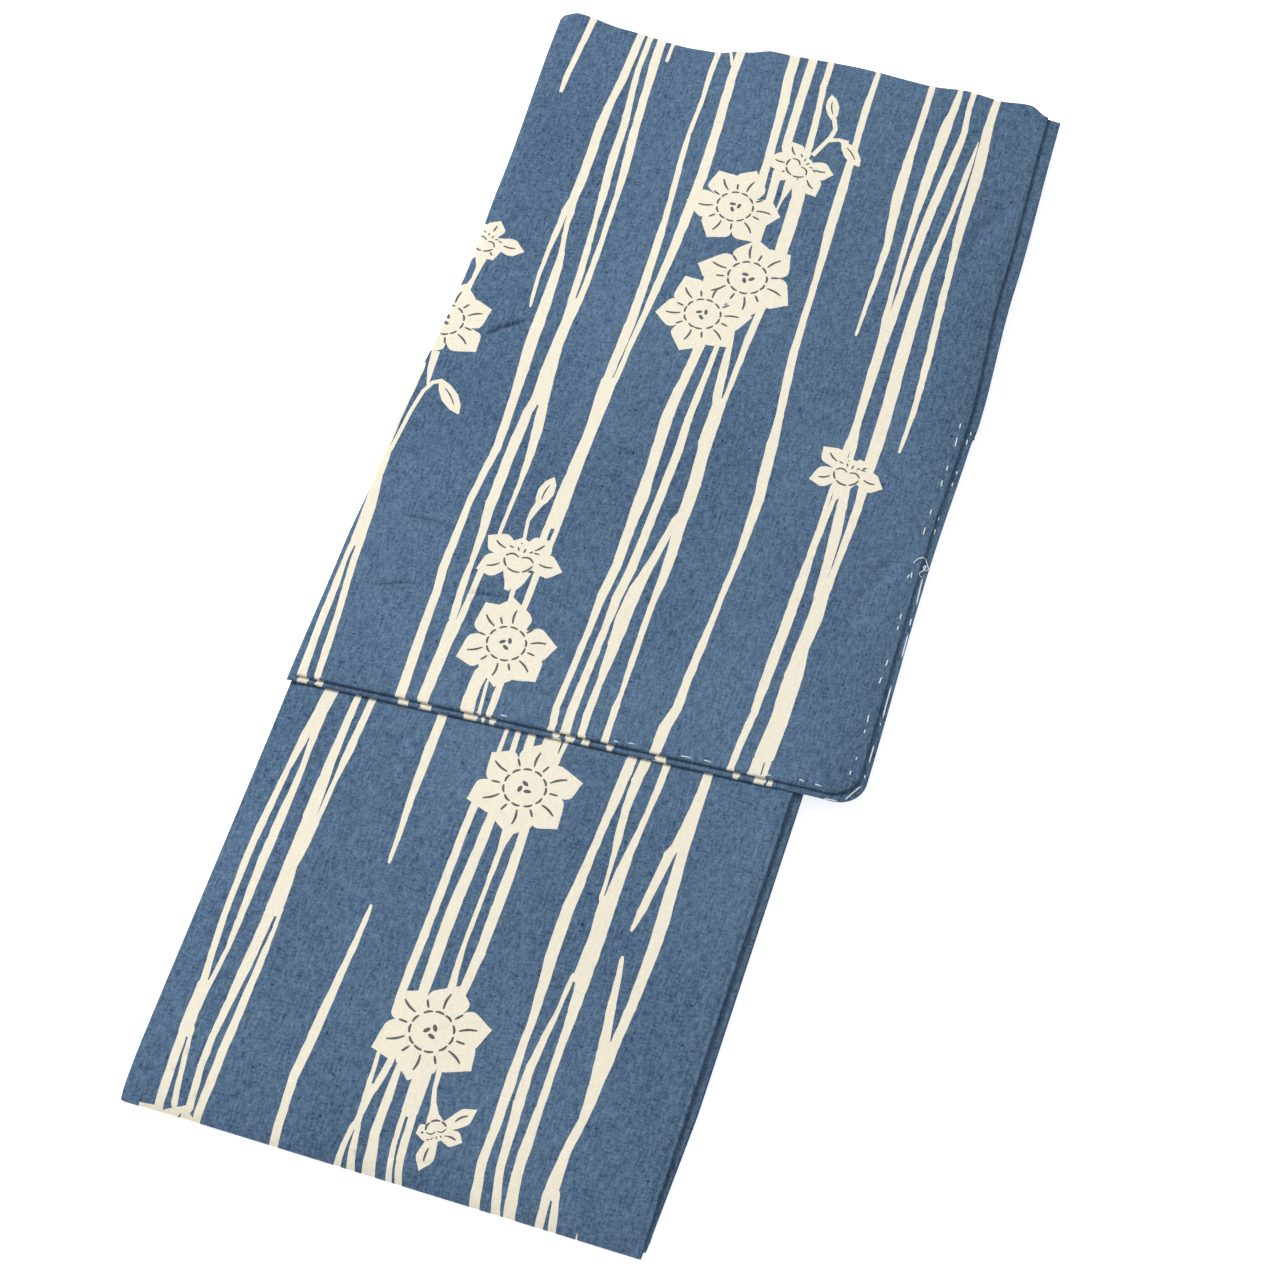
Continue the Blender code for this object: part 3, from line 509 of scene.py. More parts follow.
class Print:
    """A dyed pattern: outlines left pale by the dye, and lines drawn on them. They are drawn in
    centimetres and degrees, and kept in metres."""

    def __init__(self, seed):
        self.pale = []
        self.lines = []
        self.random = np.random.default_rng(seed)

    def uneven(self, count, size):
        return self.random.normal(0, size, count)

    def stripe(self, rows):
        """A long stripe from rows of place along Y, centre and width."""
        keys = np.array(rows)
        if keys[0, 0] > keys[-1, 0]:
            keys = keys[::-1]
        first, last = keys[0, 0], keys[-1, 0]
        count = max(3, int((last - first) / STRIPE_STEP) + 1)
        y = np.unique(np.concatenate([np.linspace(first, last, count), keys[:, 0],
                                      (first + STRIPE_TAPER, last - STRIPE_TAPER)]))
        centre = np.interp(y, keys[:, 0], keys[:, 1])
        half = np.interp(y, keys[:, 0], keys[:, 2]) / 2
        ends = unit(np.minimum(y - first, last - y) / STRIPE_TAPER)
        half = half * (STRIPE_END + (1 - STRIPE_END) * ends)
        left = np.stack([centre - half + self.uneven(len(y), STRIPE_UNEVEN), y], 1)
        right = np.stack([centre + half + self.uneven(len(y), STRIPE_UNEVEN), y], 1)
        self.pale.append(np.concatenate([left, right[::-1]]) / 100)

    def band(self, points, target):
        """A strip of given widths along a line of points X, Y, width."""
        rows = np.array(points, float)
        share = np.linspace(0, len(rows) - 1, (len(rows) - 1) * 4 + 1)
        line = np.stack([np.interp(share, np.arange(len(rows)), rows[:, n]) for n in range(3)], 1)
        ahead = np.gradient(line[:, :2], axis=0)
        ahead /= np.maximum(1e-9, np.linalg.norm(ahead, axis=1))[:, None]
        side = np.stack([-ahead[:, 1], ahead[:, 0]], 1) * line[:, 2:3] / 2
        target.append(np.concatenate([line[:, :2] + side, (line[:, :2] - side)[::-1]]) / 100)

    def mark(self, ax, ay, bx, by, width, bow=0.0):
        """A short drawn line, thick in the middle, bowed to one side."""
        k = np.linspace(0, 1, 7)
        length = math.hypot(bx - ax, by - ay)
        nx, ny = -(by - ay) / length, (bx - ax) / length
        curve = np.sin(math.pi * k) * bow * length
        rows = np.stack([mix(ax, bx, k) + nx * curve, mix(ay, by, k) + ny * curve,
                         width * (0.6 + 0.4 * np.sin(math.pi * k))], 1)
        self.band(rows, self.lines)

    def petal(self, x, y, angle, length, wide, skew):
        """One pointed petal, its tip leaning to one side."""
        k = np.array([row[0] for row in PETAL])
        half = np.array([row[1] for row in PETAL]) * wide
        fine = np.linspace(0, 1, 15)
        half = np.interp(fine, k, half) + self.uneven(15, .01) * fine * (1 - fine) * 4
        middle = skew * fine * fine * length
        c, s = aim(angle)
        run = mix(.1, 1.0, fine) * length
        left = np.stack([x + run * c - (middle + half) * s, y + run * s + (middle + half) * c], 1)
        right = np.stack([x + run * c - (middle - half) * s, y + run * s + (middle - half) * c], 1)
        self.pale.append(np.concatenate([left, right[::-1]]) / 100)

    def ray(self, x, y, angle, start, end, width, bow=0.0):
        """A drawn line that points away from a centre."""
        c, s = aim(angle)
        self.mark(x + start * c, y + start * s, x + end * c, y + end * s, width, bow)

    def disc(self, x, y, radius, target, squash=1.0, turn=0.0):
        """A round or, where it is squashed, oval spot."""
        a = np.linspace(0, 2 * math.pi, 15)[:-1]
        c, s = aim(turn)
        px, py = radius * np.cos(a), radius * squash * np.sin(a)
        target.append(np.stack([x + px * c - py * s, y + px * s + py * c], 1) / 100)

    def flower(self, x, y, radius, turn):
        """A six-petalled flower seen from the front, its crown a ring of short marks.
        Its parts are sized as shares of its radius."""
        self.disc(x, y, radius * .5, self.pale)
        for n in range(6):
            angle = turn + 60 * n + float(self.uneven(1, 4)[0])
            length = radius * (1 + float(self.uneven(1, .035)[0]))
            skew = float(self.uneven(1, .13)[0])
            self.petal(x, y, angle, length, radius, skew)
            self.ray(x, y, angle + skew * 20, radius * .46, radius * .77, radius * .048, .07)
            self.ray(x, y, angle + 30, radius * .45, radius * .61, radius * .046)
        ring = radius * .375
        for n in range(11):
            angle = turn + 360 / 11 * n + float(self.uneven(1, 2)[0])
            self.arc(x, y, ring, angle - 12.5, angle + 12.5, radius * .047, 1.8)
        for n in range(3):
            angle = turn * 3 + 110 * n
            c, s = aim(angle)
            self.disc(x + radius * .088 * c, y + radius * .088 * s, radius * .07, self.lines, .55, angle + 50)

    def arc(self, x, y, radius, start, end, width, swell=1.0):
        """A drawn line round part of a circle, more curved than the circle where it swells."""
        bow = math.tan((math.radians(end) - math.radians(start)) / 4) / 2 * swell
        ends = [part for c, s in (aim(start), aim(end)) for part in (x + radius * c, y + radius * s)]
        self.mark(*ends, width, -bow)

    def side_flower(self, x, y, size, mouth, petals):
        """A flower seen from the side: its petals, the cup between them and the base behind it.
        Its parts are placed ahead of and across its mouth's direction, in shares of its size."""
        c, s = aim(mouth)

        def place(ahead, across):
            return x + size * (ahead * c - across * s), y + size * (ahead * s + across * c)

        def line(start, end, width, bow=0.0):
            self.mark(*place(*start), *place(*end), size * width, bow)

        self.disc(x, y, size * .52, self.pale)
        self.stem([(*place(ahead, 0), wide * size)
                   for ahead, wide in ((-.3, .8), (-.6, .6), (-.9, .3), (-1.15, .14))])
        for angle, length in petals:
            lean = .1 * math.sin(math.radians(angle - mouth))
            self.petal(x, y, angle, length, size * 1.1, lean)
            self.ray(x, y, angle + lean * 30, max(size * .55, length * .45), length * .76, .13, lean)
        for start, end in ((100, 140), (147, 200), (207, 258)):
            self.arc(x, y, size * .46, mouth + start, mouth + end, .135)
        line((.0, .44), (.06, .04), .07, .25)
        line((.06, -.04), (.0, -.44), .07, .25)
        for across in (-.34, -.2, -.04, .12, .3):
            line((.24 + abs(across) * .3, across), (.42 - abs(across) * .2, across * 1.5), .058)

    def bud(self, x, y, tip_x, tip_y, width):
        """A closed bud with one middle line."""
        k = np.linspace(0, 1, 11)
        fat = np.interp(k, (0, .2, .5, .8, 1), (.3, .75, 1, .7, .06)) * width
        self.band(np.stack([mix(x, tip_x, k), mix(y, tip_y, k), fat], 1), self.pale)
        self.mark(mix(x, tip_x, .22), mix(y, tip_y, .22), mix(x, tip_x, .72), mix(y, tip_y, .72), .1, .06)

    def stem(self, points):
        self.band(points, self.pale)

    def moved(self, change):
        """The same pattern with its points changed by a function."""
        other = Print(0)
        other.pale = [change(p) for p in self.pale]
        other.lines = [change(p) for p in self.lines]
        return other

    def plus(self, other):
        both = Print(0)
        both.pale = self.pale + other.pale
        both.lines = self.lines + other.lines
        return both

    def within(self, low, high, lines=True):
        """The outlines that reach into a box."""
        part = Print(0)
        for name in ("pale", "lines") if lines else ("pale",):
            kept = [p for p in getattr(self, name) if (p.max(0) > low).all() and (p.min(0) < high).all()]
            setattr(part, name, kept)
        return part

    def kinds(self, points):
        """0 where the ground is dyed, 1 where it is pale, 2 on a drawn line."""
        kind = np.zeros(len(points), int)
        pale = np.zeros(len(points), bool)
        for outline in self.pale:
            pale |= inside(outline, points)
        kind[pale] = 1
        for outline in self.lines:
            kind[pale & inside(outline, points)] = 2
        return kind


def drawn(seed, stripes, stems, flowers, side_flowers, buds=()):
    """A print from its tables. Its unevenness is drawn in this order."""
    made = Print(seed)
    for draw, rows in ((made.stripe, stripes), (made.stem, stems)):
        for row in rows:
            draw(row)
    for draw, rows in ((made.flower, flowers), (made.side_flower, side_flowers), (made.bud, buds)):
        for row in rows:
            draw(*row)
    return made


def carried_on(rows):
    """A stripe that reaches the cross fold goes on to where the print turns back."""
    place, centre, width = rows[-1]
    return rows + ((PRINT_TURN * 100, centre, width),) if place == SHOWN_END else rows


def cut(outline, pattern, spacing, lines=(), coarse=None):
    """Triangles of a flat piece of cloth, whose edges follow its outline, its pattern and any
    further lines. coarse is the middle and half length, along Y, of the part that isn't hidden.
    Returns points, triangles and each triangle's dye."""
    low, high = outline.min(0), outline.max(0)
    pattern = pattern.within(low, high)
    points = [outline]
    edges = [(n, (n + 1) % len(outline)) for n in range(len(outline))]
    count = len(outline)
    for shape in pattern.pale + pattern.lines:
        points.append(shape)
        edges += [(count + n, count + (n + 1) % len(shape)) for n in range(len(shape))]
        count += len(shape)
    for line in lines:
        points.append(line)
        edges += [(count + n, count + n + 1) for n in range(len(line) - 1)]
        count += len(line)
    grid = []
    for n, y in enumerate(np.arange(low[1] + spacing / 2, high[1], spacing * GRID_ROW)):
        x = np.arange(low[0] + spacing * (.5 if n % 2 else 1.0), high[0], spacing)
        grid.append(np.stack([x, np.full(len(x), y)], 1))
    grid = np.concatenate(grid)
    grid = grid[inside(outline, grid)]
    if coarse:
        thinned = np.random.default_rng(HIDDEN_SEED).random(len(grid)) < HIDDEN_SHARE
        grid = grid[(np.abs(grid[:, 1] - coarse[0]) < coarse[1]) | thinned]
    fixed = np.concatenate(points)
    cell = spacing * GRID_CLEAR
    taken = {(int(a), int(b)) for a, b in np.round(fixed / cell)}
    keys = np.round(grid / cell).astype(int)
    free = [n for n, (a, b) in enumerate(keys) if (int(a), int(b)) not in taken]
    # The triangulation works in centimetres, with points nearer than a micrometre made one
    every = np.concatenate([fixed, grid[free]]) * 100
    result = delaunay_2d_cdt([Vector((float(x), float(y))) for x, y in every], edges, [], 0, 1e-4, False)
    flat = np.array([tuple(v) for v in result[0]]) / 100
    faces = np.array([tuple(f) for f in result[2]])
    centres = flat[faces].mean(1)
    kept = inside(outline, centres)
    faces, centres = faces[kept], centres[kept]
    used, faces = np.unique(faces, return_inverse=True)
    return flat[used], faces.reshape(-1, 3), pattern.kinds(centres)


class Cloth:
    """A piece of cloth gathered from parts: points, flat places, faces and dye."""

    def __init__(self):
        self.points, self.flat, self.faces, self.dyes = [], [], [], []
        self.count = 0

    def add(self, points, flat, faces, dyes):
        """One more part, its faces counted from the points already here."""
        self.points.append(np.asarray(points, float))
        self.flat.append(np.asarray(flat, float))
        self.faces += [tuple(int(i) + self.count for i in face) for face in faces]
        self.dyes += [int(d) for d in dyes]
        self.count += len(points)

    def strip(self, rings, flats, pattern, flip=False):
        """Quads between rows of points that run along an edge."""
        rows, count = len(rings), len(rings[0])
        points = np.concatenate(rings)
        flat = np.concatenate(flats)
        faces = []
        for row in range(rows - 1):
            for n in range(count - 1):
                a, b = row * count + n, (row + 1) * count + n
                faces.append((a, a + 1, b + 1, b) if flip else (a, b, b + 1, a + 1))
        centres = flat[np.array(faces)].mean(1)
        low, high = centres.min(0), centres.max(0)
        self.add(points, flat, faces, pattern.within(low, high, lines=False).kinds(centres))

    def build(self, name, materials):
        """The piece of cloth, its edges welded, with its flat places as the UV map "cut"."""
        points = np.concatenate(self.points)
        flat = np.concatenate(self.flat)
        mesh = bpy.data.meshes.new(name)
        mesh.from_pydata([tuple(p) for p in points], [], self.faces)
        for material in materials:
            mesh.materials.append(material)
        mesh.polygons.foreach_set("material_index", np.array(self.dyes, dtype=np.int32))
        places = mesh.uv_layers.new(name="cut")
        corner = np.zeros(len(mesh.loops), dtype=np.int32)
        mesh.loops.foreach_get("vertex_index", corner)
        places.data.foreach_set("uv", flat[corner].astype(np.float32).ravel())
        bm = bmesh.new()
        bm.from_mesh(mesh)
        bmesh.ops.remove_doubles(bm, verts=bm.verts[:], dist=WELD)
        bm.to_mesh(mesh)
        bm.free()
        mesh.shade_smooth()
        return placed(name, mesh)


def outward(outline):
    """Unit normals of an anticlockwise outline."""
    run = np.roll(outline, -1, 0) - np.roll(outline, 1, 0)
    run /= np.linalg.norm(run, axis=1)[:, None]
    return np.stack([run[:, 1], -run[:, 0]], 1)


def edge_runs(closed):
    """A closed outline's points in runs that are all fold or all hem. A run ends with the first
    point of the next."""
    count = len(closed)
    start = next((i for i in range(count) if closed[i] != closed[i - 1]), None)
    if start is None:
        return [(np.arange(count + 1) % count, bool(closed[0]))]
    order = [(start + i) % count for i in range(count)]
    runs = []
    n = 0
    while n < count:
        kind = closed[order[n]]
        m = n
        while m < count and closed[order[m]] == kind:
            m += 1
        runs.append((np.array([order[i % count] for i in range(n, m + 1)]), bool(kind)))
        n = m
    return runs


def folded(cloth, edge, turn, low, top, pattern, spacing, under_spacing, lines=()):
    """A flat tube of cloth between heights low and top. edge is its plan outline, and turn
    each point's hem radius, or 0 where the cloth goes round into the other layer."""
    normal = outward(edge)
    half = (top(*edge.T) - low(*edge.T)) / 2
    radius = np.where(turn > 0, turn, half)
    inner = edge - normal * radius[:, None]
    for height, sign, fine in ((top, -1, spacing), (low, 1, under_spacing)):
        dyed = pattern if fine == spacing else pattern.within(edge.min(0), edge.max(0), lines=False)
        flat, faces, dyes = cut(inner, dyed, fine, lines if fine == spacing else ())
        z = height(flat[:, 0], flat[:, 1])
        cloth.add(np.column_stack([flat, z]), flat, faces if sign < 0 else faces[:, ::-1], dyes)
    z_top, z_low = top(*inner.T), low(*inner.T)
    for run, is_closed in edge_runs(turn == 0):
        base, out = inner[run], normal[run]
        if is_closed:
            r = (z_top[run] - z_low[run]) / 2
            middle = (z_top[run] + z_low[run]) / 2
            rings, flats = [], []
            for step in range(TURN_STEPS + 1):
                a = math.pi * step / TURN_STEPS
                plan = base + out * (r * math.sin(a))[:, None]
                rings.append(np.column_stack([plan, middle + r * math.cos(a)]))
                flats.append(base + out * (r * a)[:, None])
            cloth.strip(rings, flats, pattern)
        else:
            r = radius[run]
            for z0, sign in ((z_top[run], -1), (z_low[run], 1)):
                rings, flats = [], []
                for step in range(HEM_STEPS + 1):
                    a = math.pi * step / HEM_STEPS
                    plan = base + out * (r * math.sin(a))[:, None]
                    rings.append(np.column_stack([plan, z0 + sign * r * (1 - math.cos(a))]))
                    flats.append(base + out * (r * a)[:, None])
                rings.append(np.column_stack([base - out * HEM_DEPTH, z0 + sign * 2 * r]))
                flats.append(base + out * (r * math.pi + HEM_DEPTH)[:, None])
                cloth.strip(rings, flats, pattern, sign > 0)


def spaced(a, b, step):
    """Even values from a to b, about a step apart."""
    return np.linspace(a, b, max(2, int(abs(b - a) / step) + 1))


def sleeve_outline(left, right, fold, lower):
    """Plan outline of a sleeve, anticlockwise from its lower left corner, with the hem
    radius of each point: 0 along its folds and its sewn edges."""
    head = SLEEVE_HEAD_Y - SLEEVE_RIGHT_Y
    shoulder = SLEEVE_RIGHT_Y + head
    rows = []

    def place(x, up, slant, turn):
        rise = (along(fold, x) - shoulder) * unit(1 - (head - up) / SHOULDER_REACH)
        rows.append((float(x), float(SLEEVE_RIGHT_Y + up + (slant - lower) * (1 - up / head) + rise), turn))

    first = float(along(left, SLEEVE_LEFT_Y))
    last = float(along(right, SLEEVE_RIGHT_Y)) - CORNER_RADIUS
    for x in spaced(first, last, EDGE_STEP)[:-1]:
        place(x, 0.0, (SLEEVE_LEFT_Y - SLEEVE_RIGHT_Y) * (last - x) / (last - first), 0.0)
    for a in np.radians(spaced(0, 90, 5)[:-1]):
        up = CORNER_RADIUS * (1 - math.cos(a))
        place(along(right, SLEEVE_RIGHT_Y + up) - CORNER_RADIUS * (1 - math.sin(a)), up, 0.0, 0.0)
    for up in spaced(CORNER_RADIUS, head, EDGE_STEP)[:-1]:
        y = SLEEVE_RIGHT_Y + up
        place(along(right, y), up, 0.0, 0.0 if y < CUFF_END_Y else HEM_TURN)
    for x in spaced(float(along(right, shoulder)), float(along(left, shoulder)), EDGE_STEP)[:-1]:
        place(x, head, 0.0, 0.0)
    bottom = rows[0][1]
    for y in spaced(float(along(fold, along(left, shoulder))), bottom, EDGE_STEP)[:-1]:
        rows.append((float(along(left, y)), float(y), HEM_TURN))
    table = np.array(rows)
    return table[:, :2] + (SHIFT_X, SHIFT_Y), table[:, 2]


def rolled(edges, x, y):
    """How far the top sleeve sinks towards its sides: roundly at the upper left, slightly
    along the right."""
    left = 1 - unit((x - along(edges[0], y)) / LEFT_ROLL_WIDTH)
    right = 1 - unit((along(edges[1], y) - x) / RIGHT_ROLL_WIDTH)
    upper = unit((y - LEFT_ROLL_START) / LEFT_ROLL_FADE)
    return LEFT_ROLL * left * left * upper + RIGHT_ROLL * right * right


def make_sleeve(name, edges, level, pattern, creases, spacing, materials):
    """A sleeve: a tube of cloth pressed flat on what lies under it."""
    edge, turn = sleeve_outline(*edges)
    lift = GAP + level

    def low(x, y):
        return sleeve_base(x, y) + lift

    def top(x, y):
        height = sleeve_base(x, y) + lift + STEP + WALL + creased(creases, x, y)
        return height - rolled(edges, x - SHIFT_X, y - SHIFT_Y) if creases else height

    cloth = Cloth()
    folded(cloth, edge, turn, low, top, pattern, spacing, COARSE_SPACING, crease_points(creases))
    return cloth.build(name, materials)


class Strip:
    """The lengthwise section of a back panel: along the top, round the cross fold and back
    along the underside. Flat places are (X, V), and V is Y on the upper face."""

    NOSE = 0.006
    NOSE_POINTS = 24
    TURN_POINTS = 6

    def __init__(self, level, setback):
        self.level = level
        self.setback = setback
        radius = FOLD_CENTRE_Z
        self.centre = level + radius
        y = self.NOSE * (1 - np.sin(np.linspace(0, math.pi / 2, self.NOSE_POINTS)))
        k = 1 - unit(y / OWN_NOSE)
        at = fold_y(0.0) + setback + y
        free = stack_top(0.0, at) - level
        z = self.centre + (free - self.centre) * np.sqrt(1 - k * k)
        a = np.linspace(0, math.pi / 2, self.TURN_POINTS + 1)[1:]
        self.y = np.concatenate([y, radius * (1 - np.cos(a))])
        self.z = np.concatenate([z, self.centre - radius * np.sin(a)])
        step = np.hypot(np.diff(self.y), np.diff(self.z))
        self.run = np.concatenate([[0], np.cumsum(step)])
        self.start_z = z[0]

    def top_z(self, x, y):
        """Height of the panel's upper run."""
        k = 1 - unit((y - fold_y(x) - self.setback) / OWN_NOSE)
        free = stack_top(x, y) - side_drop(x, y) - self.level
        return self.centre + (free - self.centre) * np.sqrt(1 - k * k)

    def place(self, x, v):
        """(Y, Z) of flat places."""
        fold = fold_y(x) + self.setback
        split = fold + self.NOSE
        run = np.maximum(0, split - v)
        y = fold + np.interp(run, self.run, self.y)
        z = np.interp(run, self.run, self.z)
        scale = (self.top_z(x, split) - self.centre) / (self.start_z - self.centre)
        z = np.where(z > self.centre, self.centre + (z - self.centre) * scale, z)
        y = y + np.maximum(0, run - self.run[-1])
        over = v >= split
        return np.where(over, v, y), np.where(over, self.top_z(x, v), z)

    def last(self, x, hem):
        """V of the hem on the underside."""
        fold = fold_y(x) + self.setback
        return fold + self.NOSE - self.run[-1] - (hem - fold - self.y[-1])


def make_back(name, level, setback, right_edge, inset, corner_cut, pattern, creases, spacing, kise,
              materials):
    """A back panel wrapped round the cross fold, with its edges turned in."""
    strip = Strip(level, setback)
    head = SHIFT_Y + SHOULDER_Y - setback
    hem = SHIFT_Y + HEM_Y - setback
    r = HEM_TURN

    def sides(v, side):
        """X of the panel's right or left edge along its length."""
        x = np.full(len(v), SHIFT_X + (right_edge if side > 0 else -BODY_SEAM_X))
        y, _ = strip.place(x, v)
        if side < 0:
            return body_left(y) + inset
        near = 1 - unit((y - fold_y(SHIFT_X + right_edge) - setback) / CORNER_CUT_LENGTH)
        return SHIFT_X + right_edge - corner_cut * near

    ends = float(strip.last(0.0, hem))
    v = spaced(ends + r, head - r, PANEL_EDGE_STEP)
    right = np.column_stack([sides(v, 1) - r, v])
    left = np.column_stack([sides(v, -1) + r, v])

    def across(a, b):
        x = spaced(a[0], b[0], PANEL_EDGE_STEP)[1:-1]
        return np.column_stack([x, np.full(len(x), a[1])])

    far = across(right[-1], left[-1])
    near = across(left[0], right[0])
    outline = np.concatenate([right, far, left[::-1], near])
    extra = crease_points(creases)
    places = spaced(float(left[:, 0].max()) + .001, float(right[:, 0].min()) - .001, TOP_SPACING)
    for run in strip.run[::3]:
        extra.append(np.column_stack([places, fold_y(places) + setback + strip.NOSE - run]))
    if kise:
        inner = v[(v > SHOWN_V[0] - SHOWN_V[1]) & (v < SHOWN_V[0] + SHOWN_V[1])]
        for off in (-1.6, -.8, 0, .8, 1.6):
            extra.append(np.column_stack([sides(inner, 1) - KISE_INSIDE + off * KISE_ROWS, inner])[2:-2])

    def lifted(x, w):
        """(Y, Z) of flat places, with the creases and the seam on the upper face."""
        y, z = strip.place(x, w)
        fold = fold_y(x) + setback + strip.NOSE
        up = creased(creases, x, y) * unit((w - fold) / CREASE_FADE)
        if kise:
            off = sides(w, 1) - x - KISE_INSIDE
            ease = unit((w - fold) / SEAM_FADE)
            up = up - KISE_DEPTH * np.exp(-(off / KISE_WIDTH) ** 2) * ease
            up = up + SEAM_RISE * np.exp(-(np.minimum(0, KISE_INSIDE - off) / SEAM_WIDTH) ** 2) * ease
        return y, z + np.where(w > fold, up, 0)

    cloth = Cloth()
    flat, faces, dyes = cut(outline, pattern, spacing, extra, SHOWN_V)
    y, z = lifted(flat[:, 0], flat[:, 1])
    cloth.add(np.column_stack([flat[:, 0], y, z]), flat, faces, dyes)

    def rim(base, out_x, out_y, along_v, flip=False):
        """The hem along one edge, rolled under from the cloth's own upward direction."""
        y, z = lifted(base[:, 0], base[:, 1])
        y2, z2 = strip.place(base[:, 0], base[:, 1] + PROBE)
        y1, z1 = strip.place(base[:, 0], base[:, 1] - PROBE)
        ty, tz = y2 - y1, z2 - z1
        size = np.maximum(1e-12, np.hypot(ty, tz))
        ny, nz = tz / size, -ty / size
        rings, flats = [], []
        turned = [(r * math.sin(a), r * (1 - math.cos(a)), r * a)
                  for a in np.linspace(0, math.pi, HEM_STEPS + 1)]
        for go, sink, spread in turned + [(-HEM_DEPTH, 2 * r, r * math.pi + HEM_DEPTH)]:
            rings.append(np.column_stack([base[:, 0] + out_x * go, y + out_y * go + ny * sink,
                                          z + nz * sink]))
            flats.append(base + np.array((out_x, along_v)) * spread)
        cloth.strip(rings, flats, pattern, flip)

    rim(right, 1, 0, 0)
    rim(left, -1, 0, 0, True)
    rim(np.concatenate([right[-1:], far, left[-1:]]), 0, 1, 1)
    rim(np.concatenate([left[:1], near, right[:1]]), 0, 1, -1)
    return cloth.build(name, materials)


def layer_outline(n):
    """Plan outline of one of the folded-away layers, each uneven in its own way."""
    wave = LAYER_WAVE * math.sin(2.3 * n + 1)
    start = STACK_SETBACK + LAYER_BACK * (n % 2)
    x0 = STACK_INSET + LAYER_LEFT * ((n * 2) % 3)
    x1 = 2 * STACK_INSET + LAYER_RIGHT * ((n * 2 + 1) % 3)
    left_x = float(body_left(SHIFT_Y + LAYER_CORNER_Y)) + x0
    right_x = SHIFT_X + BODY_UNDER_X - x1
    y_low = float(fold_y(right_x)) + start
    y_high = SHIFT_Y + SHOULDER_Y - 2 * INNER_FOLD_SETBACK
    rows = [(x, float(fold_y(x)) + start) for x in spaced(left_x, right_x, LAYER_STEP)[:-1]]
    rows += [(right_x - wave * (1 + math.sin(y * 17 + n)) * .5, y)
             for y in spaced(y_low, y_high, LAYER_STEP)[:-1]]
    rows += [(x, y_high - LAYER_HEAD * (n % 2))
             for x in spaced(right_x, float(body_left(y_high)) + x0, LAYER_STEP)[:-1]]
    rows += [(float(body_left(y)) + x0 + abs(wave) * (1 + math.sin(y * 13 + 2 * n)) * .5, y)
             for y in spaced(y_high, float(fold_y(left_x)) + start, LAYER_STEP)[:-1]]
    return np.array(rows)


def make_stack(name, materials):
    """The folded-away fronts, overlaps and collar: flat folds of cloth in a stack."""
    cloth = Cloth()
    floor = 2 * STEP

    def level(x, y, k):
        return mix(floor, stack_top(x, y) - side_drop(x, y) - 2 * STEP, k)

    for n in range(LAYERS_IN_STACK):
        edge = layer_outline(n)

        def low(x, y, k=n / LAYERS_IN_STACK):
            return level(x, y, k) + LAYER_GAP

        def top(x, y, k=(n + 1) / LAYERS_IN_STACK):
            return level(x, y, k) - LAYER_GAP

        folded(cloth, edge, np.zeros(len(edge)), low, top, Print(0), LAYER_SPACING, LAYER_SPACING)
    return cloth.build(name, materials)


def tube(points, radius, sides=6):
    """Points and faces of a thread along a line."""
    line = np.asarray(points, float)
    ahead = np.gradient(line, axis=0)
    ahead /= np.linalg.norm(ahead, axis=1)[:, None]
    side = np.stack([-ahead[:, 1], ahead[:, 0], np.zeros(len(line))], 1)
    side /= np.maximum(1e-9, np.linalg.norm(side, axis=1))[:, None]
    up = np.cross(ahead, side)
    verts, faces = [], []
    for n, p in enumerate(line):
        shrink = THREAD_END if n in (0, len(line) - 1) else 1.0
        for s in range(sides):
            a = 2 * math.pi * s / sides
            verts.append(p + radius * shrink * (math.cos(a) * side[n] + math.sin(a) * up[n]))
    for n in range(len(line) - 1):
        for s in range(sides):
            t = (s + 1) % sides
            faces.append((n * sides + s, n * sides + t, (n + 1) * sides + t, (n + 1) * sides + s))
    faces.append(tuple(range(sides))[::-1])
    faces.append(tuple((len(line) - 1) * sides + s for s in range(sides)))
    return verts, faces


# White basting stitches, in centimetres: start X, Y, end X, Y
TOP_STITCHES = (
    (15.66, 15.95, 15.68, 15.55), (15.72, 14.95, 15.76, 14.2), (15.7, 12.8, 15.72, 12.4),
    (15.66, 11.7, 15.7, 11.2), (15.58, 9.5, 15.6, 9.1), (15.56, 8.2, 15.58, 7.6), (15.62, 4.95, 15.68, 4.5),
    (15.53, 4.72, 15.47, 4.4), (15.78, 2.0, 15.8, 1.6), (15.82, 1.15, 15.86, .85), (15.86, -1.2, 15.84, -1.7),
    (15.82, -2.45, 15.8, -2.95), (15.78, -5.1, 15.84, -5.65), (15.84, -6.1, 15.86, -6.4),
    (15.88, -8.0, 15.88, -8.2), (15.8, -8.95, 15.8, -9.25), (14.1, -10.52, 14.5, -10.54),
    (13.16, -10.5, 13.5, -10.54), (11.3, -10.75, 11.62, -10.72), (7.66, -10.86, 8.12, -10.9),
    (6.3, -11.0, 7.0, -10.94), (3.24, -11.06, 3.64, -11.04), (2.4, -11.2, 2.7, -11.18),
    (-4.28, -11.46, -3.84, -11.44),
)
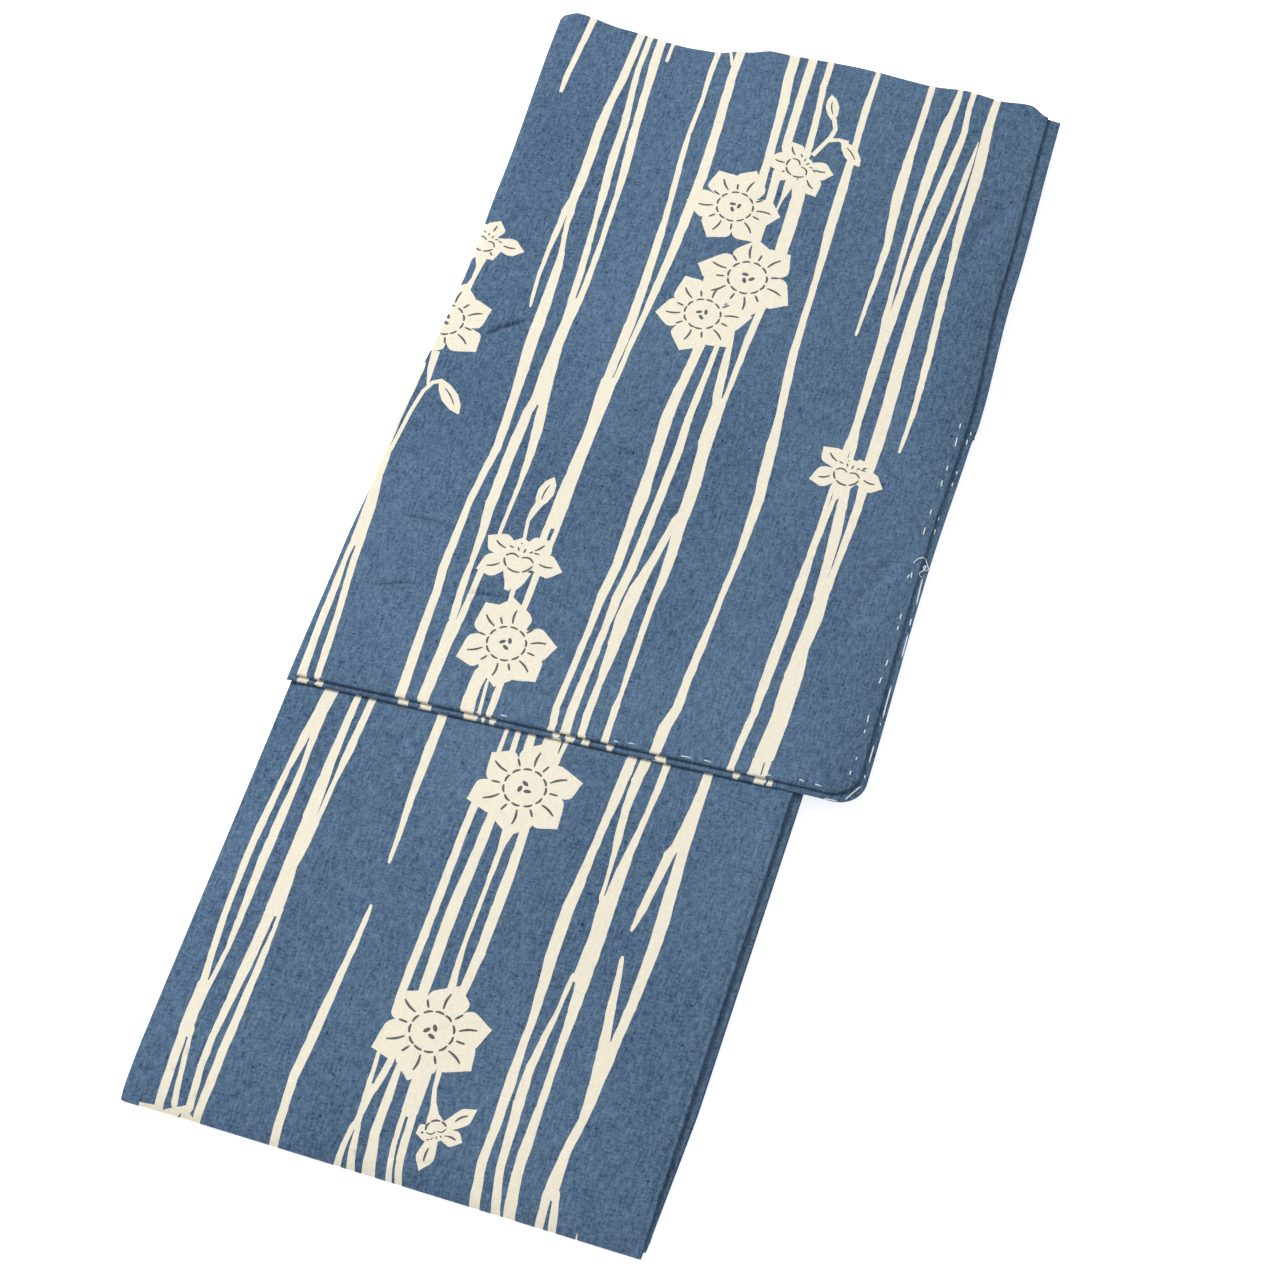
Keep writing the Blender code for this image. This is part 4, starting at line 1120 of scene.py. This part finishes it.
BAND_STITCHES = (
    (16.38, 15.7, 16.4, 15.5), (16.3, 15.15, 16.34, 14.75), (16.3, 12.75, 16.32, 12.5),
    (16.26, 11.9, 16.28, 11.6), (16.1, 9.3, 16.12, 9.0), (16.12, 8.45, 16.14, 8.0),
    (16.28, 4.95, 16.42, 3.0), (16.38, 2.05, 16.42, 1.55), (16.48, 1.0, 16.54, -.7),
    (16.46, -2.6, 16.56, -4.95), (16.54, -5.25, 16.55, -5.4), (16.56, -6.7, 16.6, -8.0),
    (16.6, -8.8, 16.62, -9.0), (16.6, -9.5, 15.95, -10.75), (15.6, -11.0, 14.8, -11.12),
)

# The loose end of the basting thread at the cuff: X, Y in centimetres, height in millimetres
LOOSE_THREAD = (
    (15.52, 5.52, -.4), (15.6, 5.68, .5), (15.72, 5.9, .6), (15.88, 6.02, .9), (16.02, 6.16, 1.0),
    (16.16, 6.08, 1.1), (16.3, 5.86, .7), (16.44, 5.66, .5), (16.4, 5.46, .4), (16.22, 5.44, .5),
    (16.14, 5.58, .8), (16.2, 5.7, 1.2), (16.3, 5.62, 1.5), (16.24, 5.4, 1.0), (16.08, 5.22, .8),
    (16.02, 5.04, .6), (16.12, 4.94, .3), (16.24, 5.0, -.4),
)


def make_basting(name, heights, loose, material):
    """Short white stitches that hold the sewn edges flat, and the end of their thread."""
    verts, faces = [], []
    fine = np.linspace(0, len(loose) - 1, len(loose) * 6)
    line = np.stack([np.interp(fine, np.arange(len(loose)), [row[n] for row in loose]) for n in range(3)], 1)
    for _ in range(3):
        line[1:-1] = (line[:-2] + 2 * line[1:-1] + line[2:]) / 4
    x, y = line[:, 0] / 100, line[:, 1] / 100
    over = unit((x - LOOSE_OVER_X) / LOOSE_OVER_WIDTH)
    z = mix(heights[0][1](x, y), heights[1][1](x, y), over)
    threads = [(np.column_stack([x, y, z + line[:, 2] / 1000]), THREAD_RADIUS * LOOSE_THINNER)]
    for rows, height in heights:
        for ax, ay, bx, by in rows:
            k = np.linspace(0, 1, 7)
            x, y = mix(ax, bx, k) / 100, mix(ay, by, k) / 100
            lift = THREAD_RADIUS * (np.sin(math.pi * k) ** .5 * 1.2 - .55)
            threads.append((np.column_stack([x, y, height(x, y) + lift]), THREAD_RADIUS))
    for points, radius in threads:
        more, skins = tube(points, radius)
        faces += [tuple(i + len(verts) for i in f) for f in skins]
        verts += [tuple(p) for p in more]
    mesh = bpy.data.meshes.new(name)
    mesh.from_pydata(verts, [], faces)
    mesh.materials.append(material)
    mesh.shade_smooth()
    return placed(name, mesh)


# Dyes, as linear colours
INDIGO = (.079, .137, .220)
INDIGO_LINE = (.112, .116, .122)
CREAM = (.795, .742, .607)

# Noises in the cloth: cells per metre across and along it, detail, place in the noise
NOISES = {
    "warp": (660, 170, 2.0, 0.0), "weft": (230, 720, 2.0, 31.0), "cloud": (120, 80, 2.0, 7.0),
    "grain": (760, 760, 1.0, 13.0), "drift": (11, 6, 2.0, 3.0), "slubs": (110, 560, 1.0, 61.0),
    "specks": (400, 360, 1.0, 47.0),
}
# Share of each in the unevenness of the dye, and the levels above which slubs and specks show
SHARES = {"warp": .9, "weft": .65, "grain": .6, "cloud": .32, "drift": .34}
SLUB_SHARE = .55
SLUB_LEVEL = .60
SPECK_LEVEL = .68
# How strongly the unevenness works in each colour, and the middle of the result
TONES = {"Red": 1.22, "Green": 1.0, "Blue": .82}
MIDDLE_TONE = 1.02
# Crossings of threads per metre, and the relief of the crossings and of the threads
WEAVE_COUNT = 1900
CROSSING_RELIEF = .25
THREAD_RELIEF = 1.6


def fill(tree, made, inputs):
    """Set a node's inputs: to constants, or joined to other nodes' outputs."""
    for name, value in inputs.items():
        if isinstance(value, bpy.types.NodeSocket):
            tree.links.new(value, made.inputs[name])
        else:
            made.inputs[name].default_value = value


def node(tree, kind, inputs=None, **settings):
    """A new node with its settings and its inputs."""
    made = tree.nodes.new(kind)
    for name, value in settings.items():
        setattr(made, name, value)
    fill(tree, made, inputs or {})
    return made


def maths(tree, operation, a, b=None, clamp=False):
    inputs = {0: a} if b is None else {0: a, 1: b}
    return node(tree, "ShaderNodeMath", inputs, operation=operation, use_clamp=clamp).outputs[0]


def new_material(name):
    material = bpy.data.materials.new(name)
    material.use_nodes = True
    return material, material.node_tree, material.node_tree.nodes["Principled BSDF"]


def stretched(tree, places, along_u, along_v, detail, offset):
    """Noise drawn out along the cloth's own directions."""
    spread = node(tree, "ShaderNodeMapping", {
        "Vector": places, "Scale": (along_u, along_v, 1.0), "Location": (offset, offset * .7, 0.0)})
    return node(tree, "ShaderNodeTexNoise", {
        "Vector": spread.outputs["Vector"], "Scale": 1.0, "Detail": detail, "Roughness": .55,
    }, noise_dimensions="2D").outputs["Fac"]


def unevenness(tree, noises, slub, speck):
    """How light the cloth is from place to place: its threads, clouds, slubs and specks."""
    light = None
    for name, share in SHARES.items():
        amount = maths(tree, "MULTIPLY", maths(tree, "SUBTRACT", noises[name], .5), share * slub)
        light = amount if light is None else maths(tree, "ADD", light, amount)
    for name, level, share in (("specks", SPECK_LEVEL, speck), ("slubs", SLUB_LEVEL, slub * SLUB_SHARE)):
        above = maths(tree, "SUBTRACT", noises[name], level, True)
        light = maths(tree, "SUBTRACT", light, maths(tree, "MULTIPLY", above, share))
    return light


def weave_relief(tree, uv, noises):
    """Height of the crossing threads, some thicker than others."""
    threads = maths(tree, "ADD", maths(tree, "MULTIPLY", noises["warp"], .5),
                    maths(tree, "MULTIPLY", noises["weft"], .5))
    rows = node(tree, "ShaderNodeMapping", {"Vector": uv, "Scale": (WEAVE_COUNT, WEAVE_COUNT, 1.0)})
    split = node(tree, "ShaderNodeSeparateXYZ", {"Vector": rows.outputs["Vector"]})
    waves = [maths(tree, "SINE", maths(tree, "MULTIPLY", split.outputs[side], math.pi)) for side in "XY"]
    return maths(tree, "ADD", maths(tree, "MULTIPLY", maths(tree, "MULTIPLY", *waves), CROSSING_RELIEF),
                 maths(tree, "MULTIPLY", threads, THREAD_RELIEF))


def cloth_material(name, colour, slub, speck, sheen):
    """Plain-woven slub cotton: colour, unevenness of its threads, dark specks, sheen."""
    material, tree, shader = new_material(name)
    uv = node(tree, "ShaderNodeUVMap", uv_map="cut").outputs["UV"]
    noises = {kind: stretched(tree, uv, *row) for kind, row in NOISES.items()}
    light = unevenness(tree, noises, slub, speck)
    grey = node(tree, "ShaderNodeCombineColor", {
        part: maths(tree, "ADD", maths(tree, "MULTIPLY", light, share), MIDDLE_TONE)
        for part, share in TONES.items()})
    tint = node(tree, "ShaderNodeMix", {"Factor": 1.0, "A": (*colour, 1.0), "B": grey.outputs["Color"]},
                data_type="RGBA", blend_type="MULTIPLY")
    bump = node(tree, "ShaderNodeBump", {
        "Strength": .35, "Distance": .0004, "Height": weave_relief(tree, uv, noises)})
    fill(tree, shader, {
        "Base Color": tint.outputs["Result"], "Normal": bump.outputs["Normal"], "Roughness": .92,
        "Specular IOR Level": .18, "Sheen Weight": sheen, "Sheen Roughness": .5,
        "Sheen Tint": (*(mix(part, 1, .35) for part in colour), 1.0)})
    return material


def speckled_material(name, scale, dark, light):
    """A colour that varies softly between two others. Also gives its tree, shader and nodes."""
    material, tree, shader = new_material(name)
    place = node(tree, "ShaderNodeTexCoord").outputs["Object"]
    noise = node(tree, "ShaderNodeTexNoise", {"Scale": scale, "Vector": place}).outputs["Fac"]
    ramp = node(tree, "ShaderNodeValToRGB", {"Fac": noise})
    for element, colour in zip(ramp.color_ramp.elements, (dark, light)):
        element.color = (*colour, 1)
    fill(tree, shader, {"Base Color": ramp.outputs["Color"]})
    return material, tree, shader, noise, ramp.outputs["Color"]


def thread_material(name):
    material, tree, shader, noise, _ = speckled_material(name, 2200, (.56, .64, .70), (.74, .83, .90))
    bump = node(tree, "ShaderNodeBump", {"Distance": .0001, "Height": noise})
    fill(tree, shader, {"Normal": bump.outputs["Normal"], "Roughness": .8})
    return material


def floor_material(name):
    material, tree, shader, _, colour = speckled_material(name, 6, (.90, .90, .90), (.93, .93, .93))
    fill(tree, shader, {"Roughness": .9, "Emission Color": colour, "Emission Strength": .72})
    return material


# Lamps: name, place, size, power
LAMPS = (("key", (-2.5, .8, 2.6), 1.0, 125), ("fill", (1.0, -2.2, 2.6), 2.2, 14))
SKY_STRENGTH = .42
FLOOR_HALF = 3
SENSOR_WIDTH = 36.0


def make_stage():
    """Pale floor, soft light, and the camera at the photo's angle."""
    mesh = bpy.data.meshes.new("floor")
    corners = [(FLOOR_HALF * x, FLOOR_HALF * y, 0) for x, y in ((-1, -1), (1, -1), (1, 1), (-1, 1))]
    mesh.from_pydata(corners, [], [(0, 1, 2, 3)])
    mesh.materials.append(floor_material("pale_floor"))
    floor = placed("floor", mesh)
    floor.location.z = -FLOOR_DROP
    world = bpy.data.worlds.new("studio")
    world.use_nodes = True
    fill(world.node_tree, world.node_tree.nodes["Background"],
         {"Color": (1, 1, 1, 1), "Strength": SKY_STRENGTH})
    bpy.context.scene.world = world
    for name, place, size, power in LAMPS:
        light = bpy.data.lights.new(name, "AREA")
        light.size = size
        light.energy = power
        lamp = placed(name, light)
        lamp.location = place
        lamp.rotation_euler = (-Vector(place)).to_track_quat("-Z", "Y").to_euler()
    data = bpy.data.cameras.new("photo_view")
    data.lens = CAMERA_LENS
    data.sensor_width = SENSOR_WIDTH
    data.dof.use_dof = False
    camera = placed("photo_view", data)
    a, e = math.radians(CAMERA_AZIMUTH), math.radians(CAMERA_ELEVATION)
    away = Vector((math.sin(a) * math.cos(e), -math.cos(a) * math.cos(e), math.sin(e)))
    camera.location = Vector(CAMERA_TARGET) + CAMERA_DISTANCE * away
    camera.rotation_euler = (-away).to_track_quat("-Z", "Y").to_euler()
    bpy.context.scene.camera = camera
    bpy.context.scene.view_settings.view_transform = "Standard"


def mirrored(line):
    """A change of a pattern that turns it over across a line along X."""
    def change(points):
        return np.column_stack([points[:, 0], 2 * line - points[:, 1]])
    return change


def wrapped_print():
    """The back's print, carried round the cross fold and repeated along the underside."""
    body = drawn(12, [carried_on(rows) for rows in BODY_STRIPES], BODY_STEMS, BODY_FLOWERS,
                 BODY_SIDE_FLOWERS)
    under = body.moved(mirrored(PRINT_TURN))
    back = under.moved(mirrored(PRINT_TURN - PRINT_REACH))
    last = back.moved(mirrored(PRINT_TURN - 2 * PRINT_REACH))
    return body.plus(under).plus(back).plus(last)


def main():
    dyes = [cloth_material("indigo_cotton", INDIGO, 1.3, 3.2, .12),
            cloth_material("undyed_cotton", CREAM, .16, .2, .06),
            cloth_material("indigo_line", INDIGO_LINE, .6, 1.0, .12)]
    sleeve = drawn(11, SLEEVE_STRIPES, SLEEVE_STEMS, SLEEVE_FLOWERS, SLEEVE_SIDE_FLOWERS, SLEEVE_BUDS)
    band = sleeve.moved(lambda p: p * (BAND_PRINT_STRETCH, 1) + (BAND_PRINT_SHIFT, 0))
    top_edges = (TOP_LEFT_EDGE, TOP_RIGHT_EDGE, SHOULDER_FOLD, 0.0)
    under_edges = (UNDER_LEFT_EDGE, UNDER_RIGHT_EDGE, UNDER_SHOULDER_FOLD, UNDER_SLEEVE_LOWER)
    top_sleeve = make_sleeve("left_sleeve_cloth", top_edges, 2 * STEP, sleeve, SLEEVE_CREASES,
                             TOP_SPACING, dyes)
    under_sleeve = make_sleeve("right_sleeve_cloth", under_edges, 0.0, band, (), BAND_SPACING, dyes)
    left_back = make_back("left_back_cloth", 0.0, 0.0, BODY_SEAM_X, 0.0, 0.0, wrapped_print(),
                          BODY_CREASES, TOP_SPACING, True, dyes)
    right_back = make_back("right_back_cloth", STEP, INNER_FOLD_SETBACK, BODY_UNDER_X, PANEL_INSET,
                           UNDER_CORNER_CUT, Print(0), (), HIDDEN_SPACING, False, dyes)
    stack = make_stack("hidden_layers_cloth", dyes)

    def on_band(x, y):
        return sleeve_base(x, y) + GAP + STEP + WALL

    def on_top(x, y):
        height = on_band(x, y) + 2 * STEP + creased(SLEEVE_CREASES, x, y)
        return height - rolled(top_edges, x - SHIFT_X, y - SHIFT_Y)

    basting = make_basting("basting", ((TOP_STITCHES, on_top), (BAND_STITCHES, on_band)), LOOSE_THREAD,
                           thread_material("white_thread"))

    for piece, replaced, slot in (
        (top_sleeve, "left_sleeve", "sleeve_cloth"), (under_sleeve, "right_sleeve", "sleeve_cloth"),
        (left_back, "left_back", "body_cloth"), (right_back, "right_back", "body_cloth"),
        (stack, "hidden_layers", "folded_cloth"),
    ):
        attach(piece, "root")
        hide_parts(replaced)
    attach(basting, "root")
    make_stage()


main()
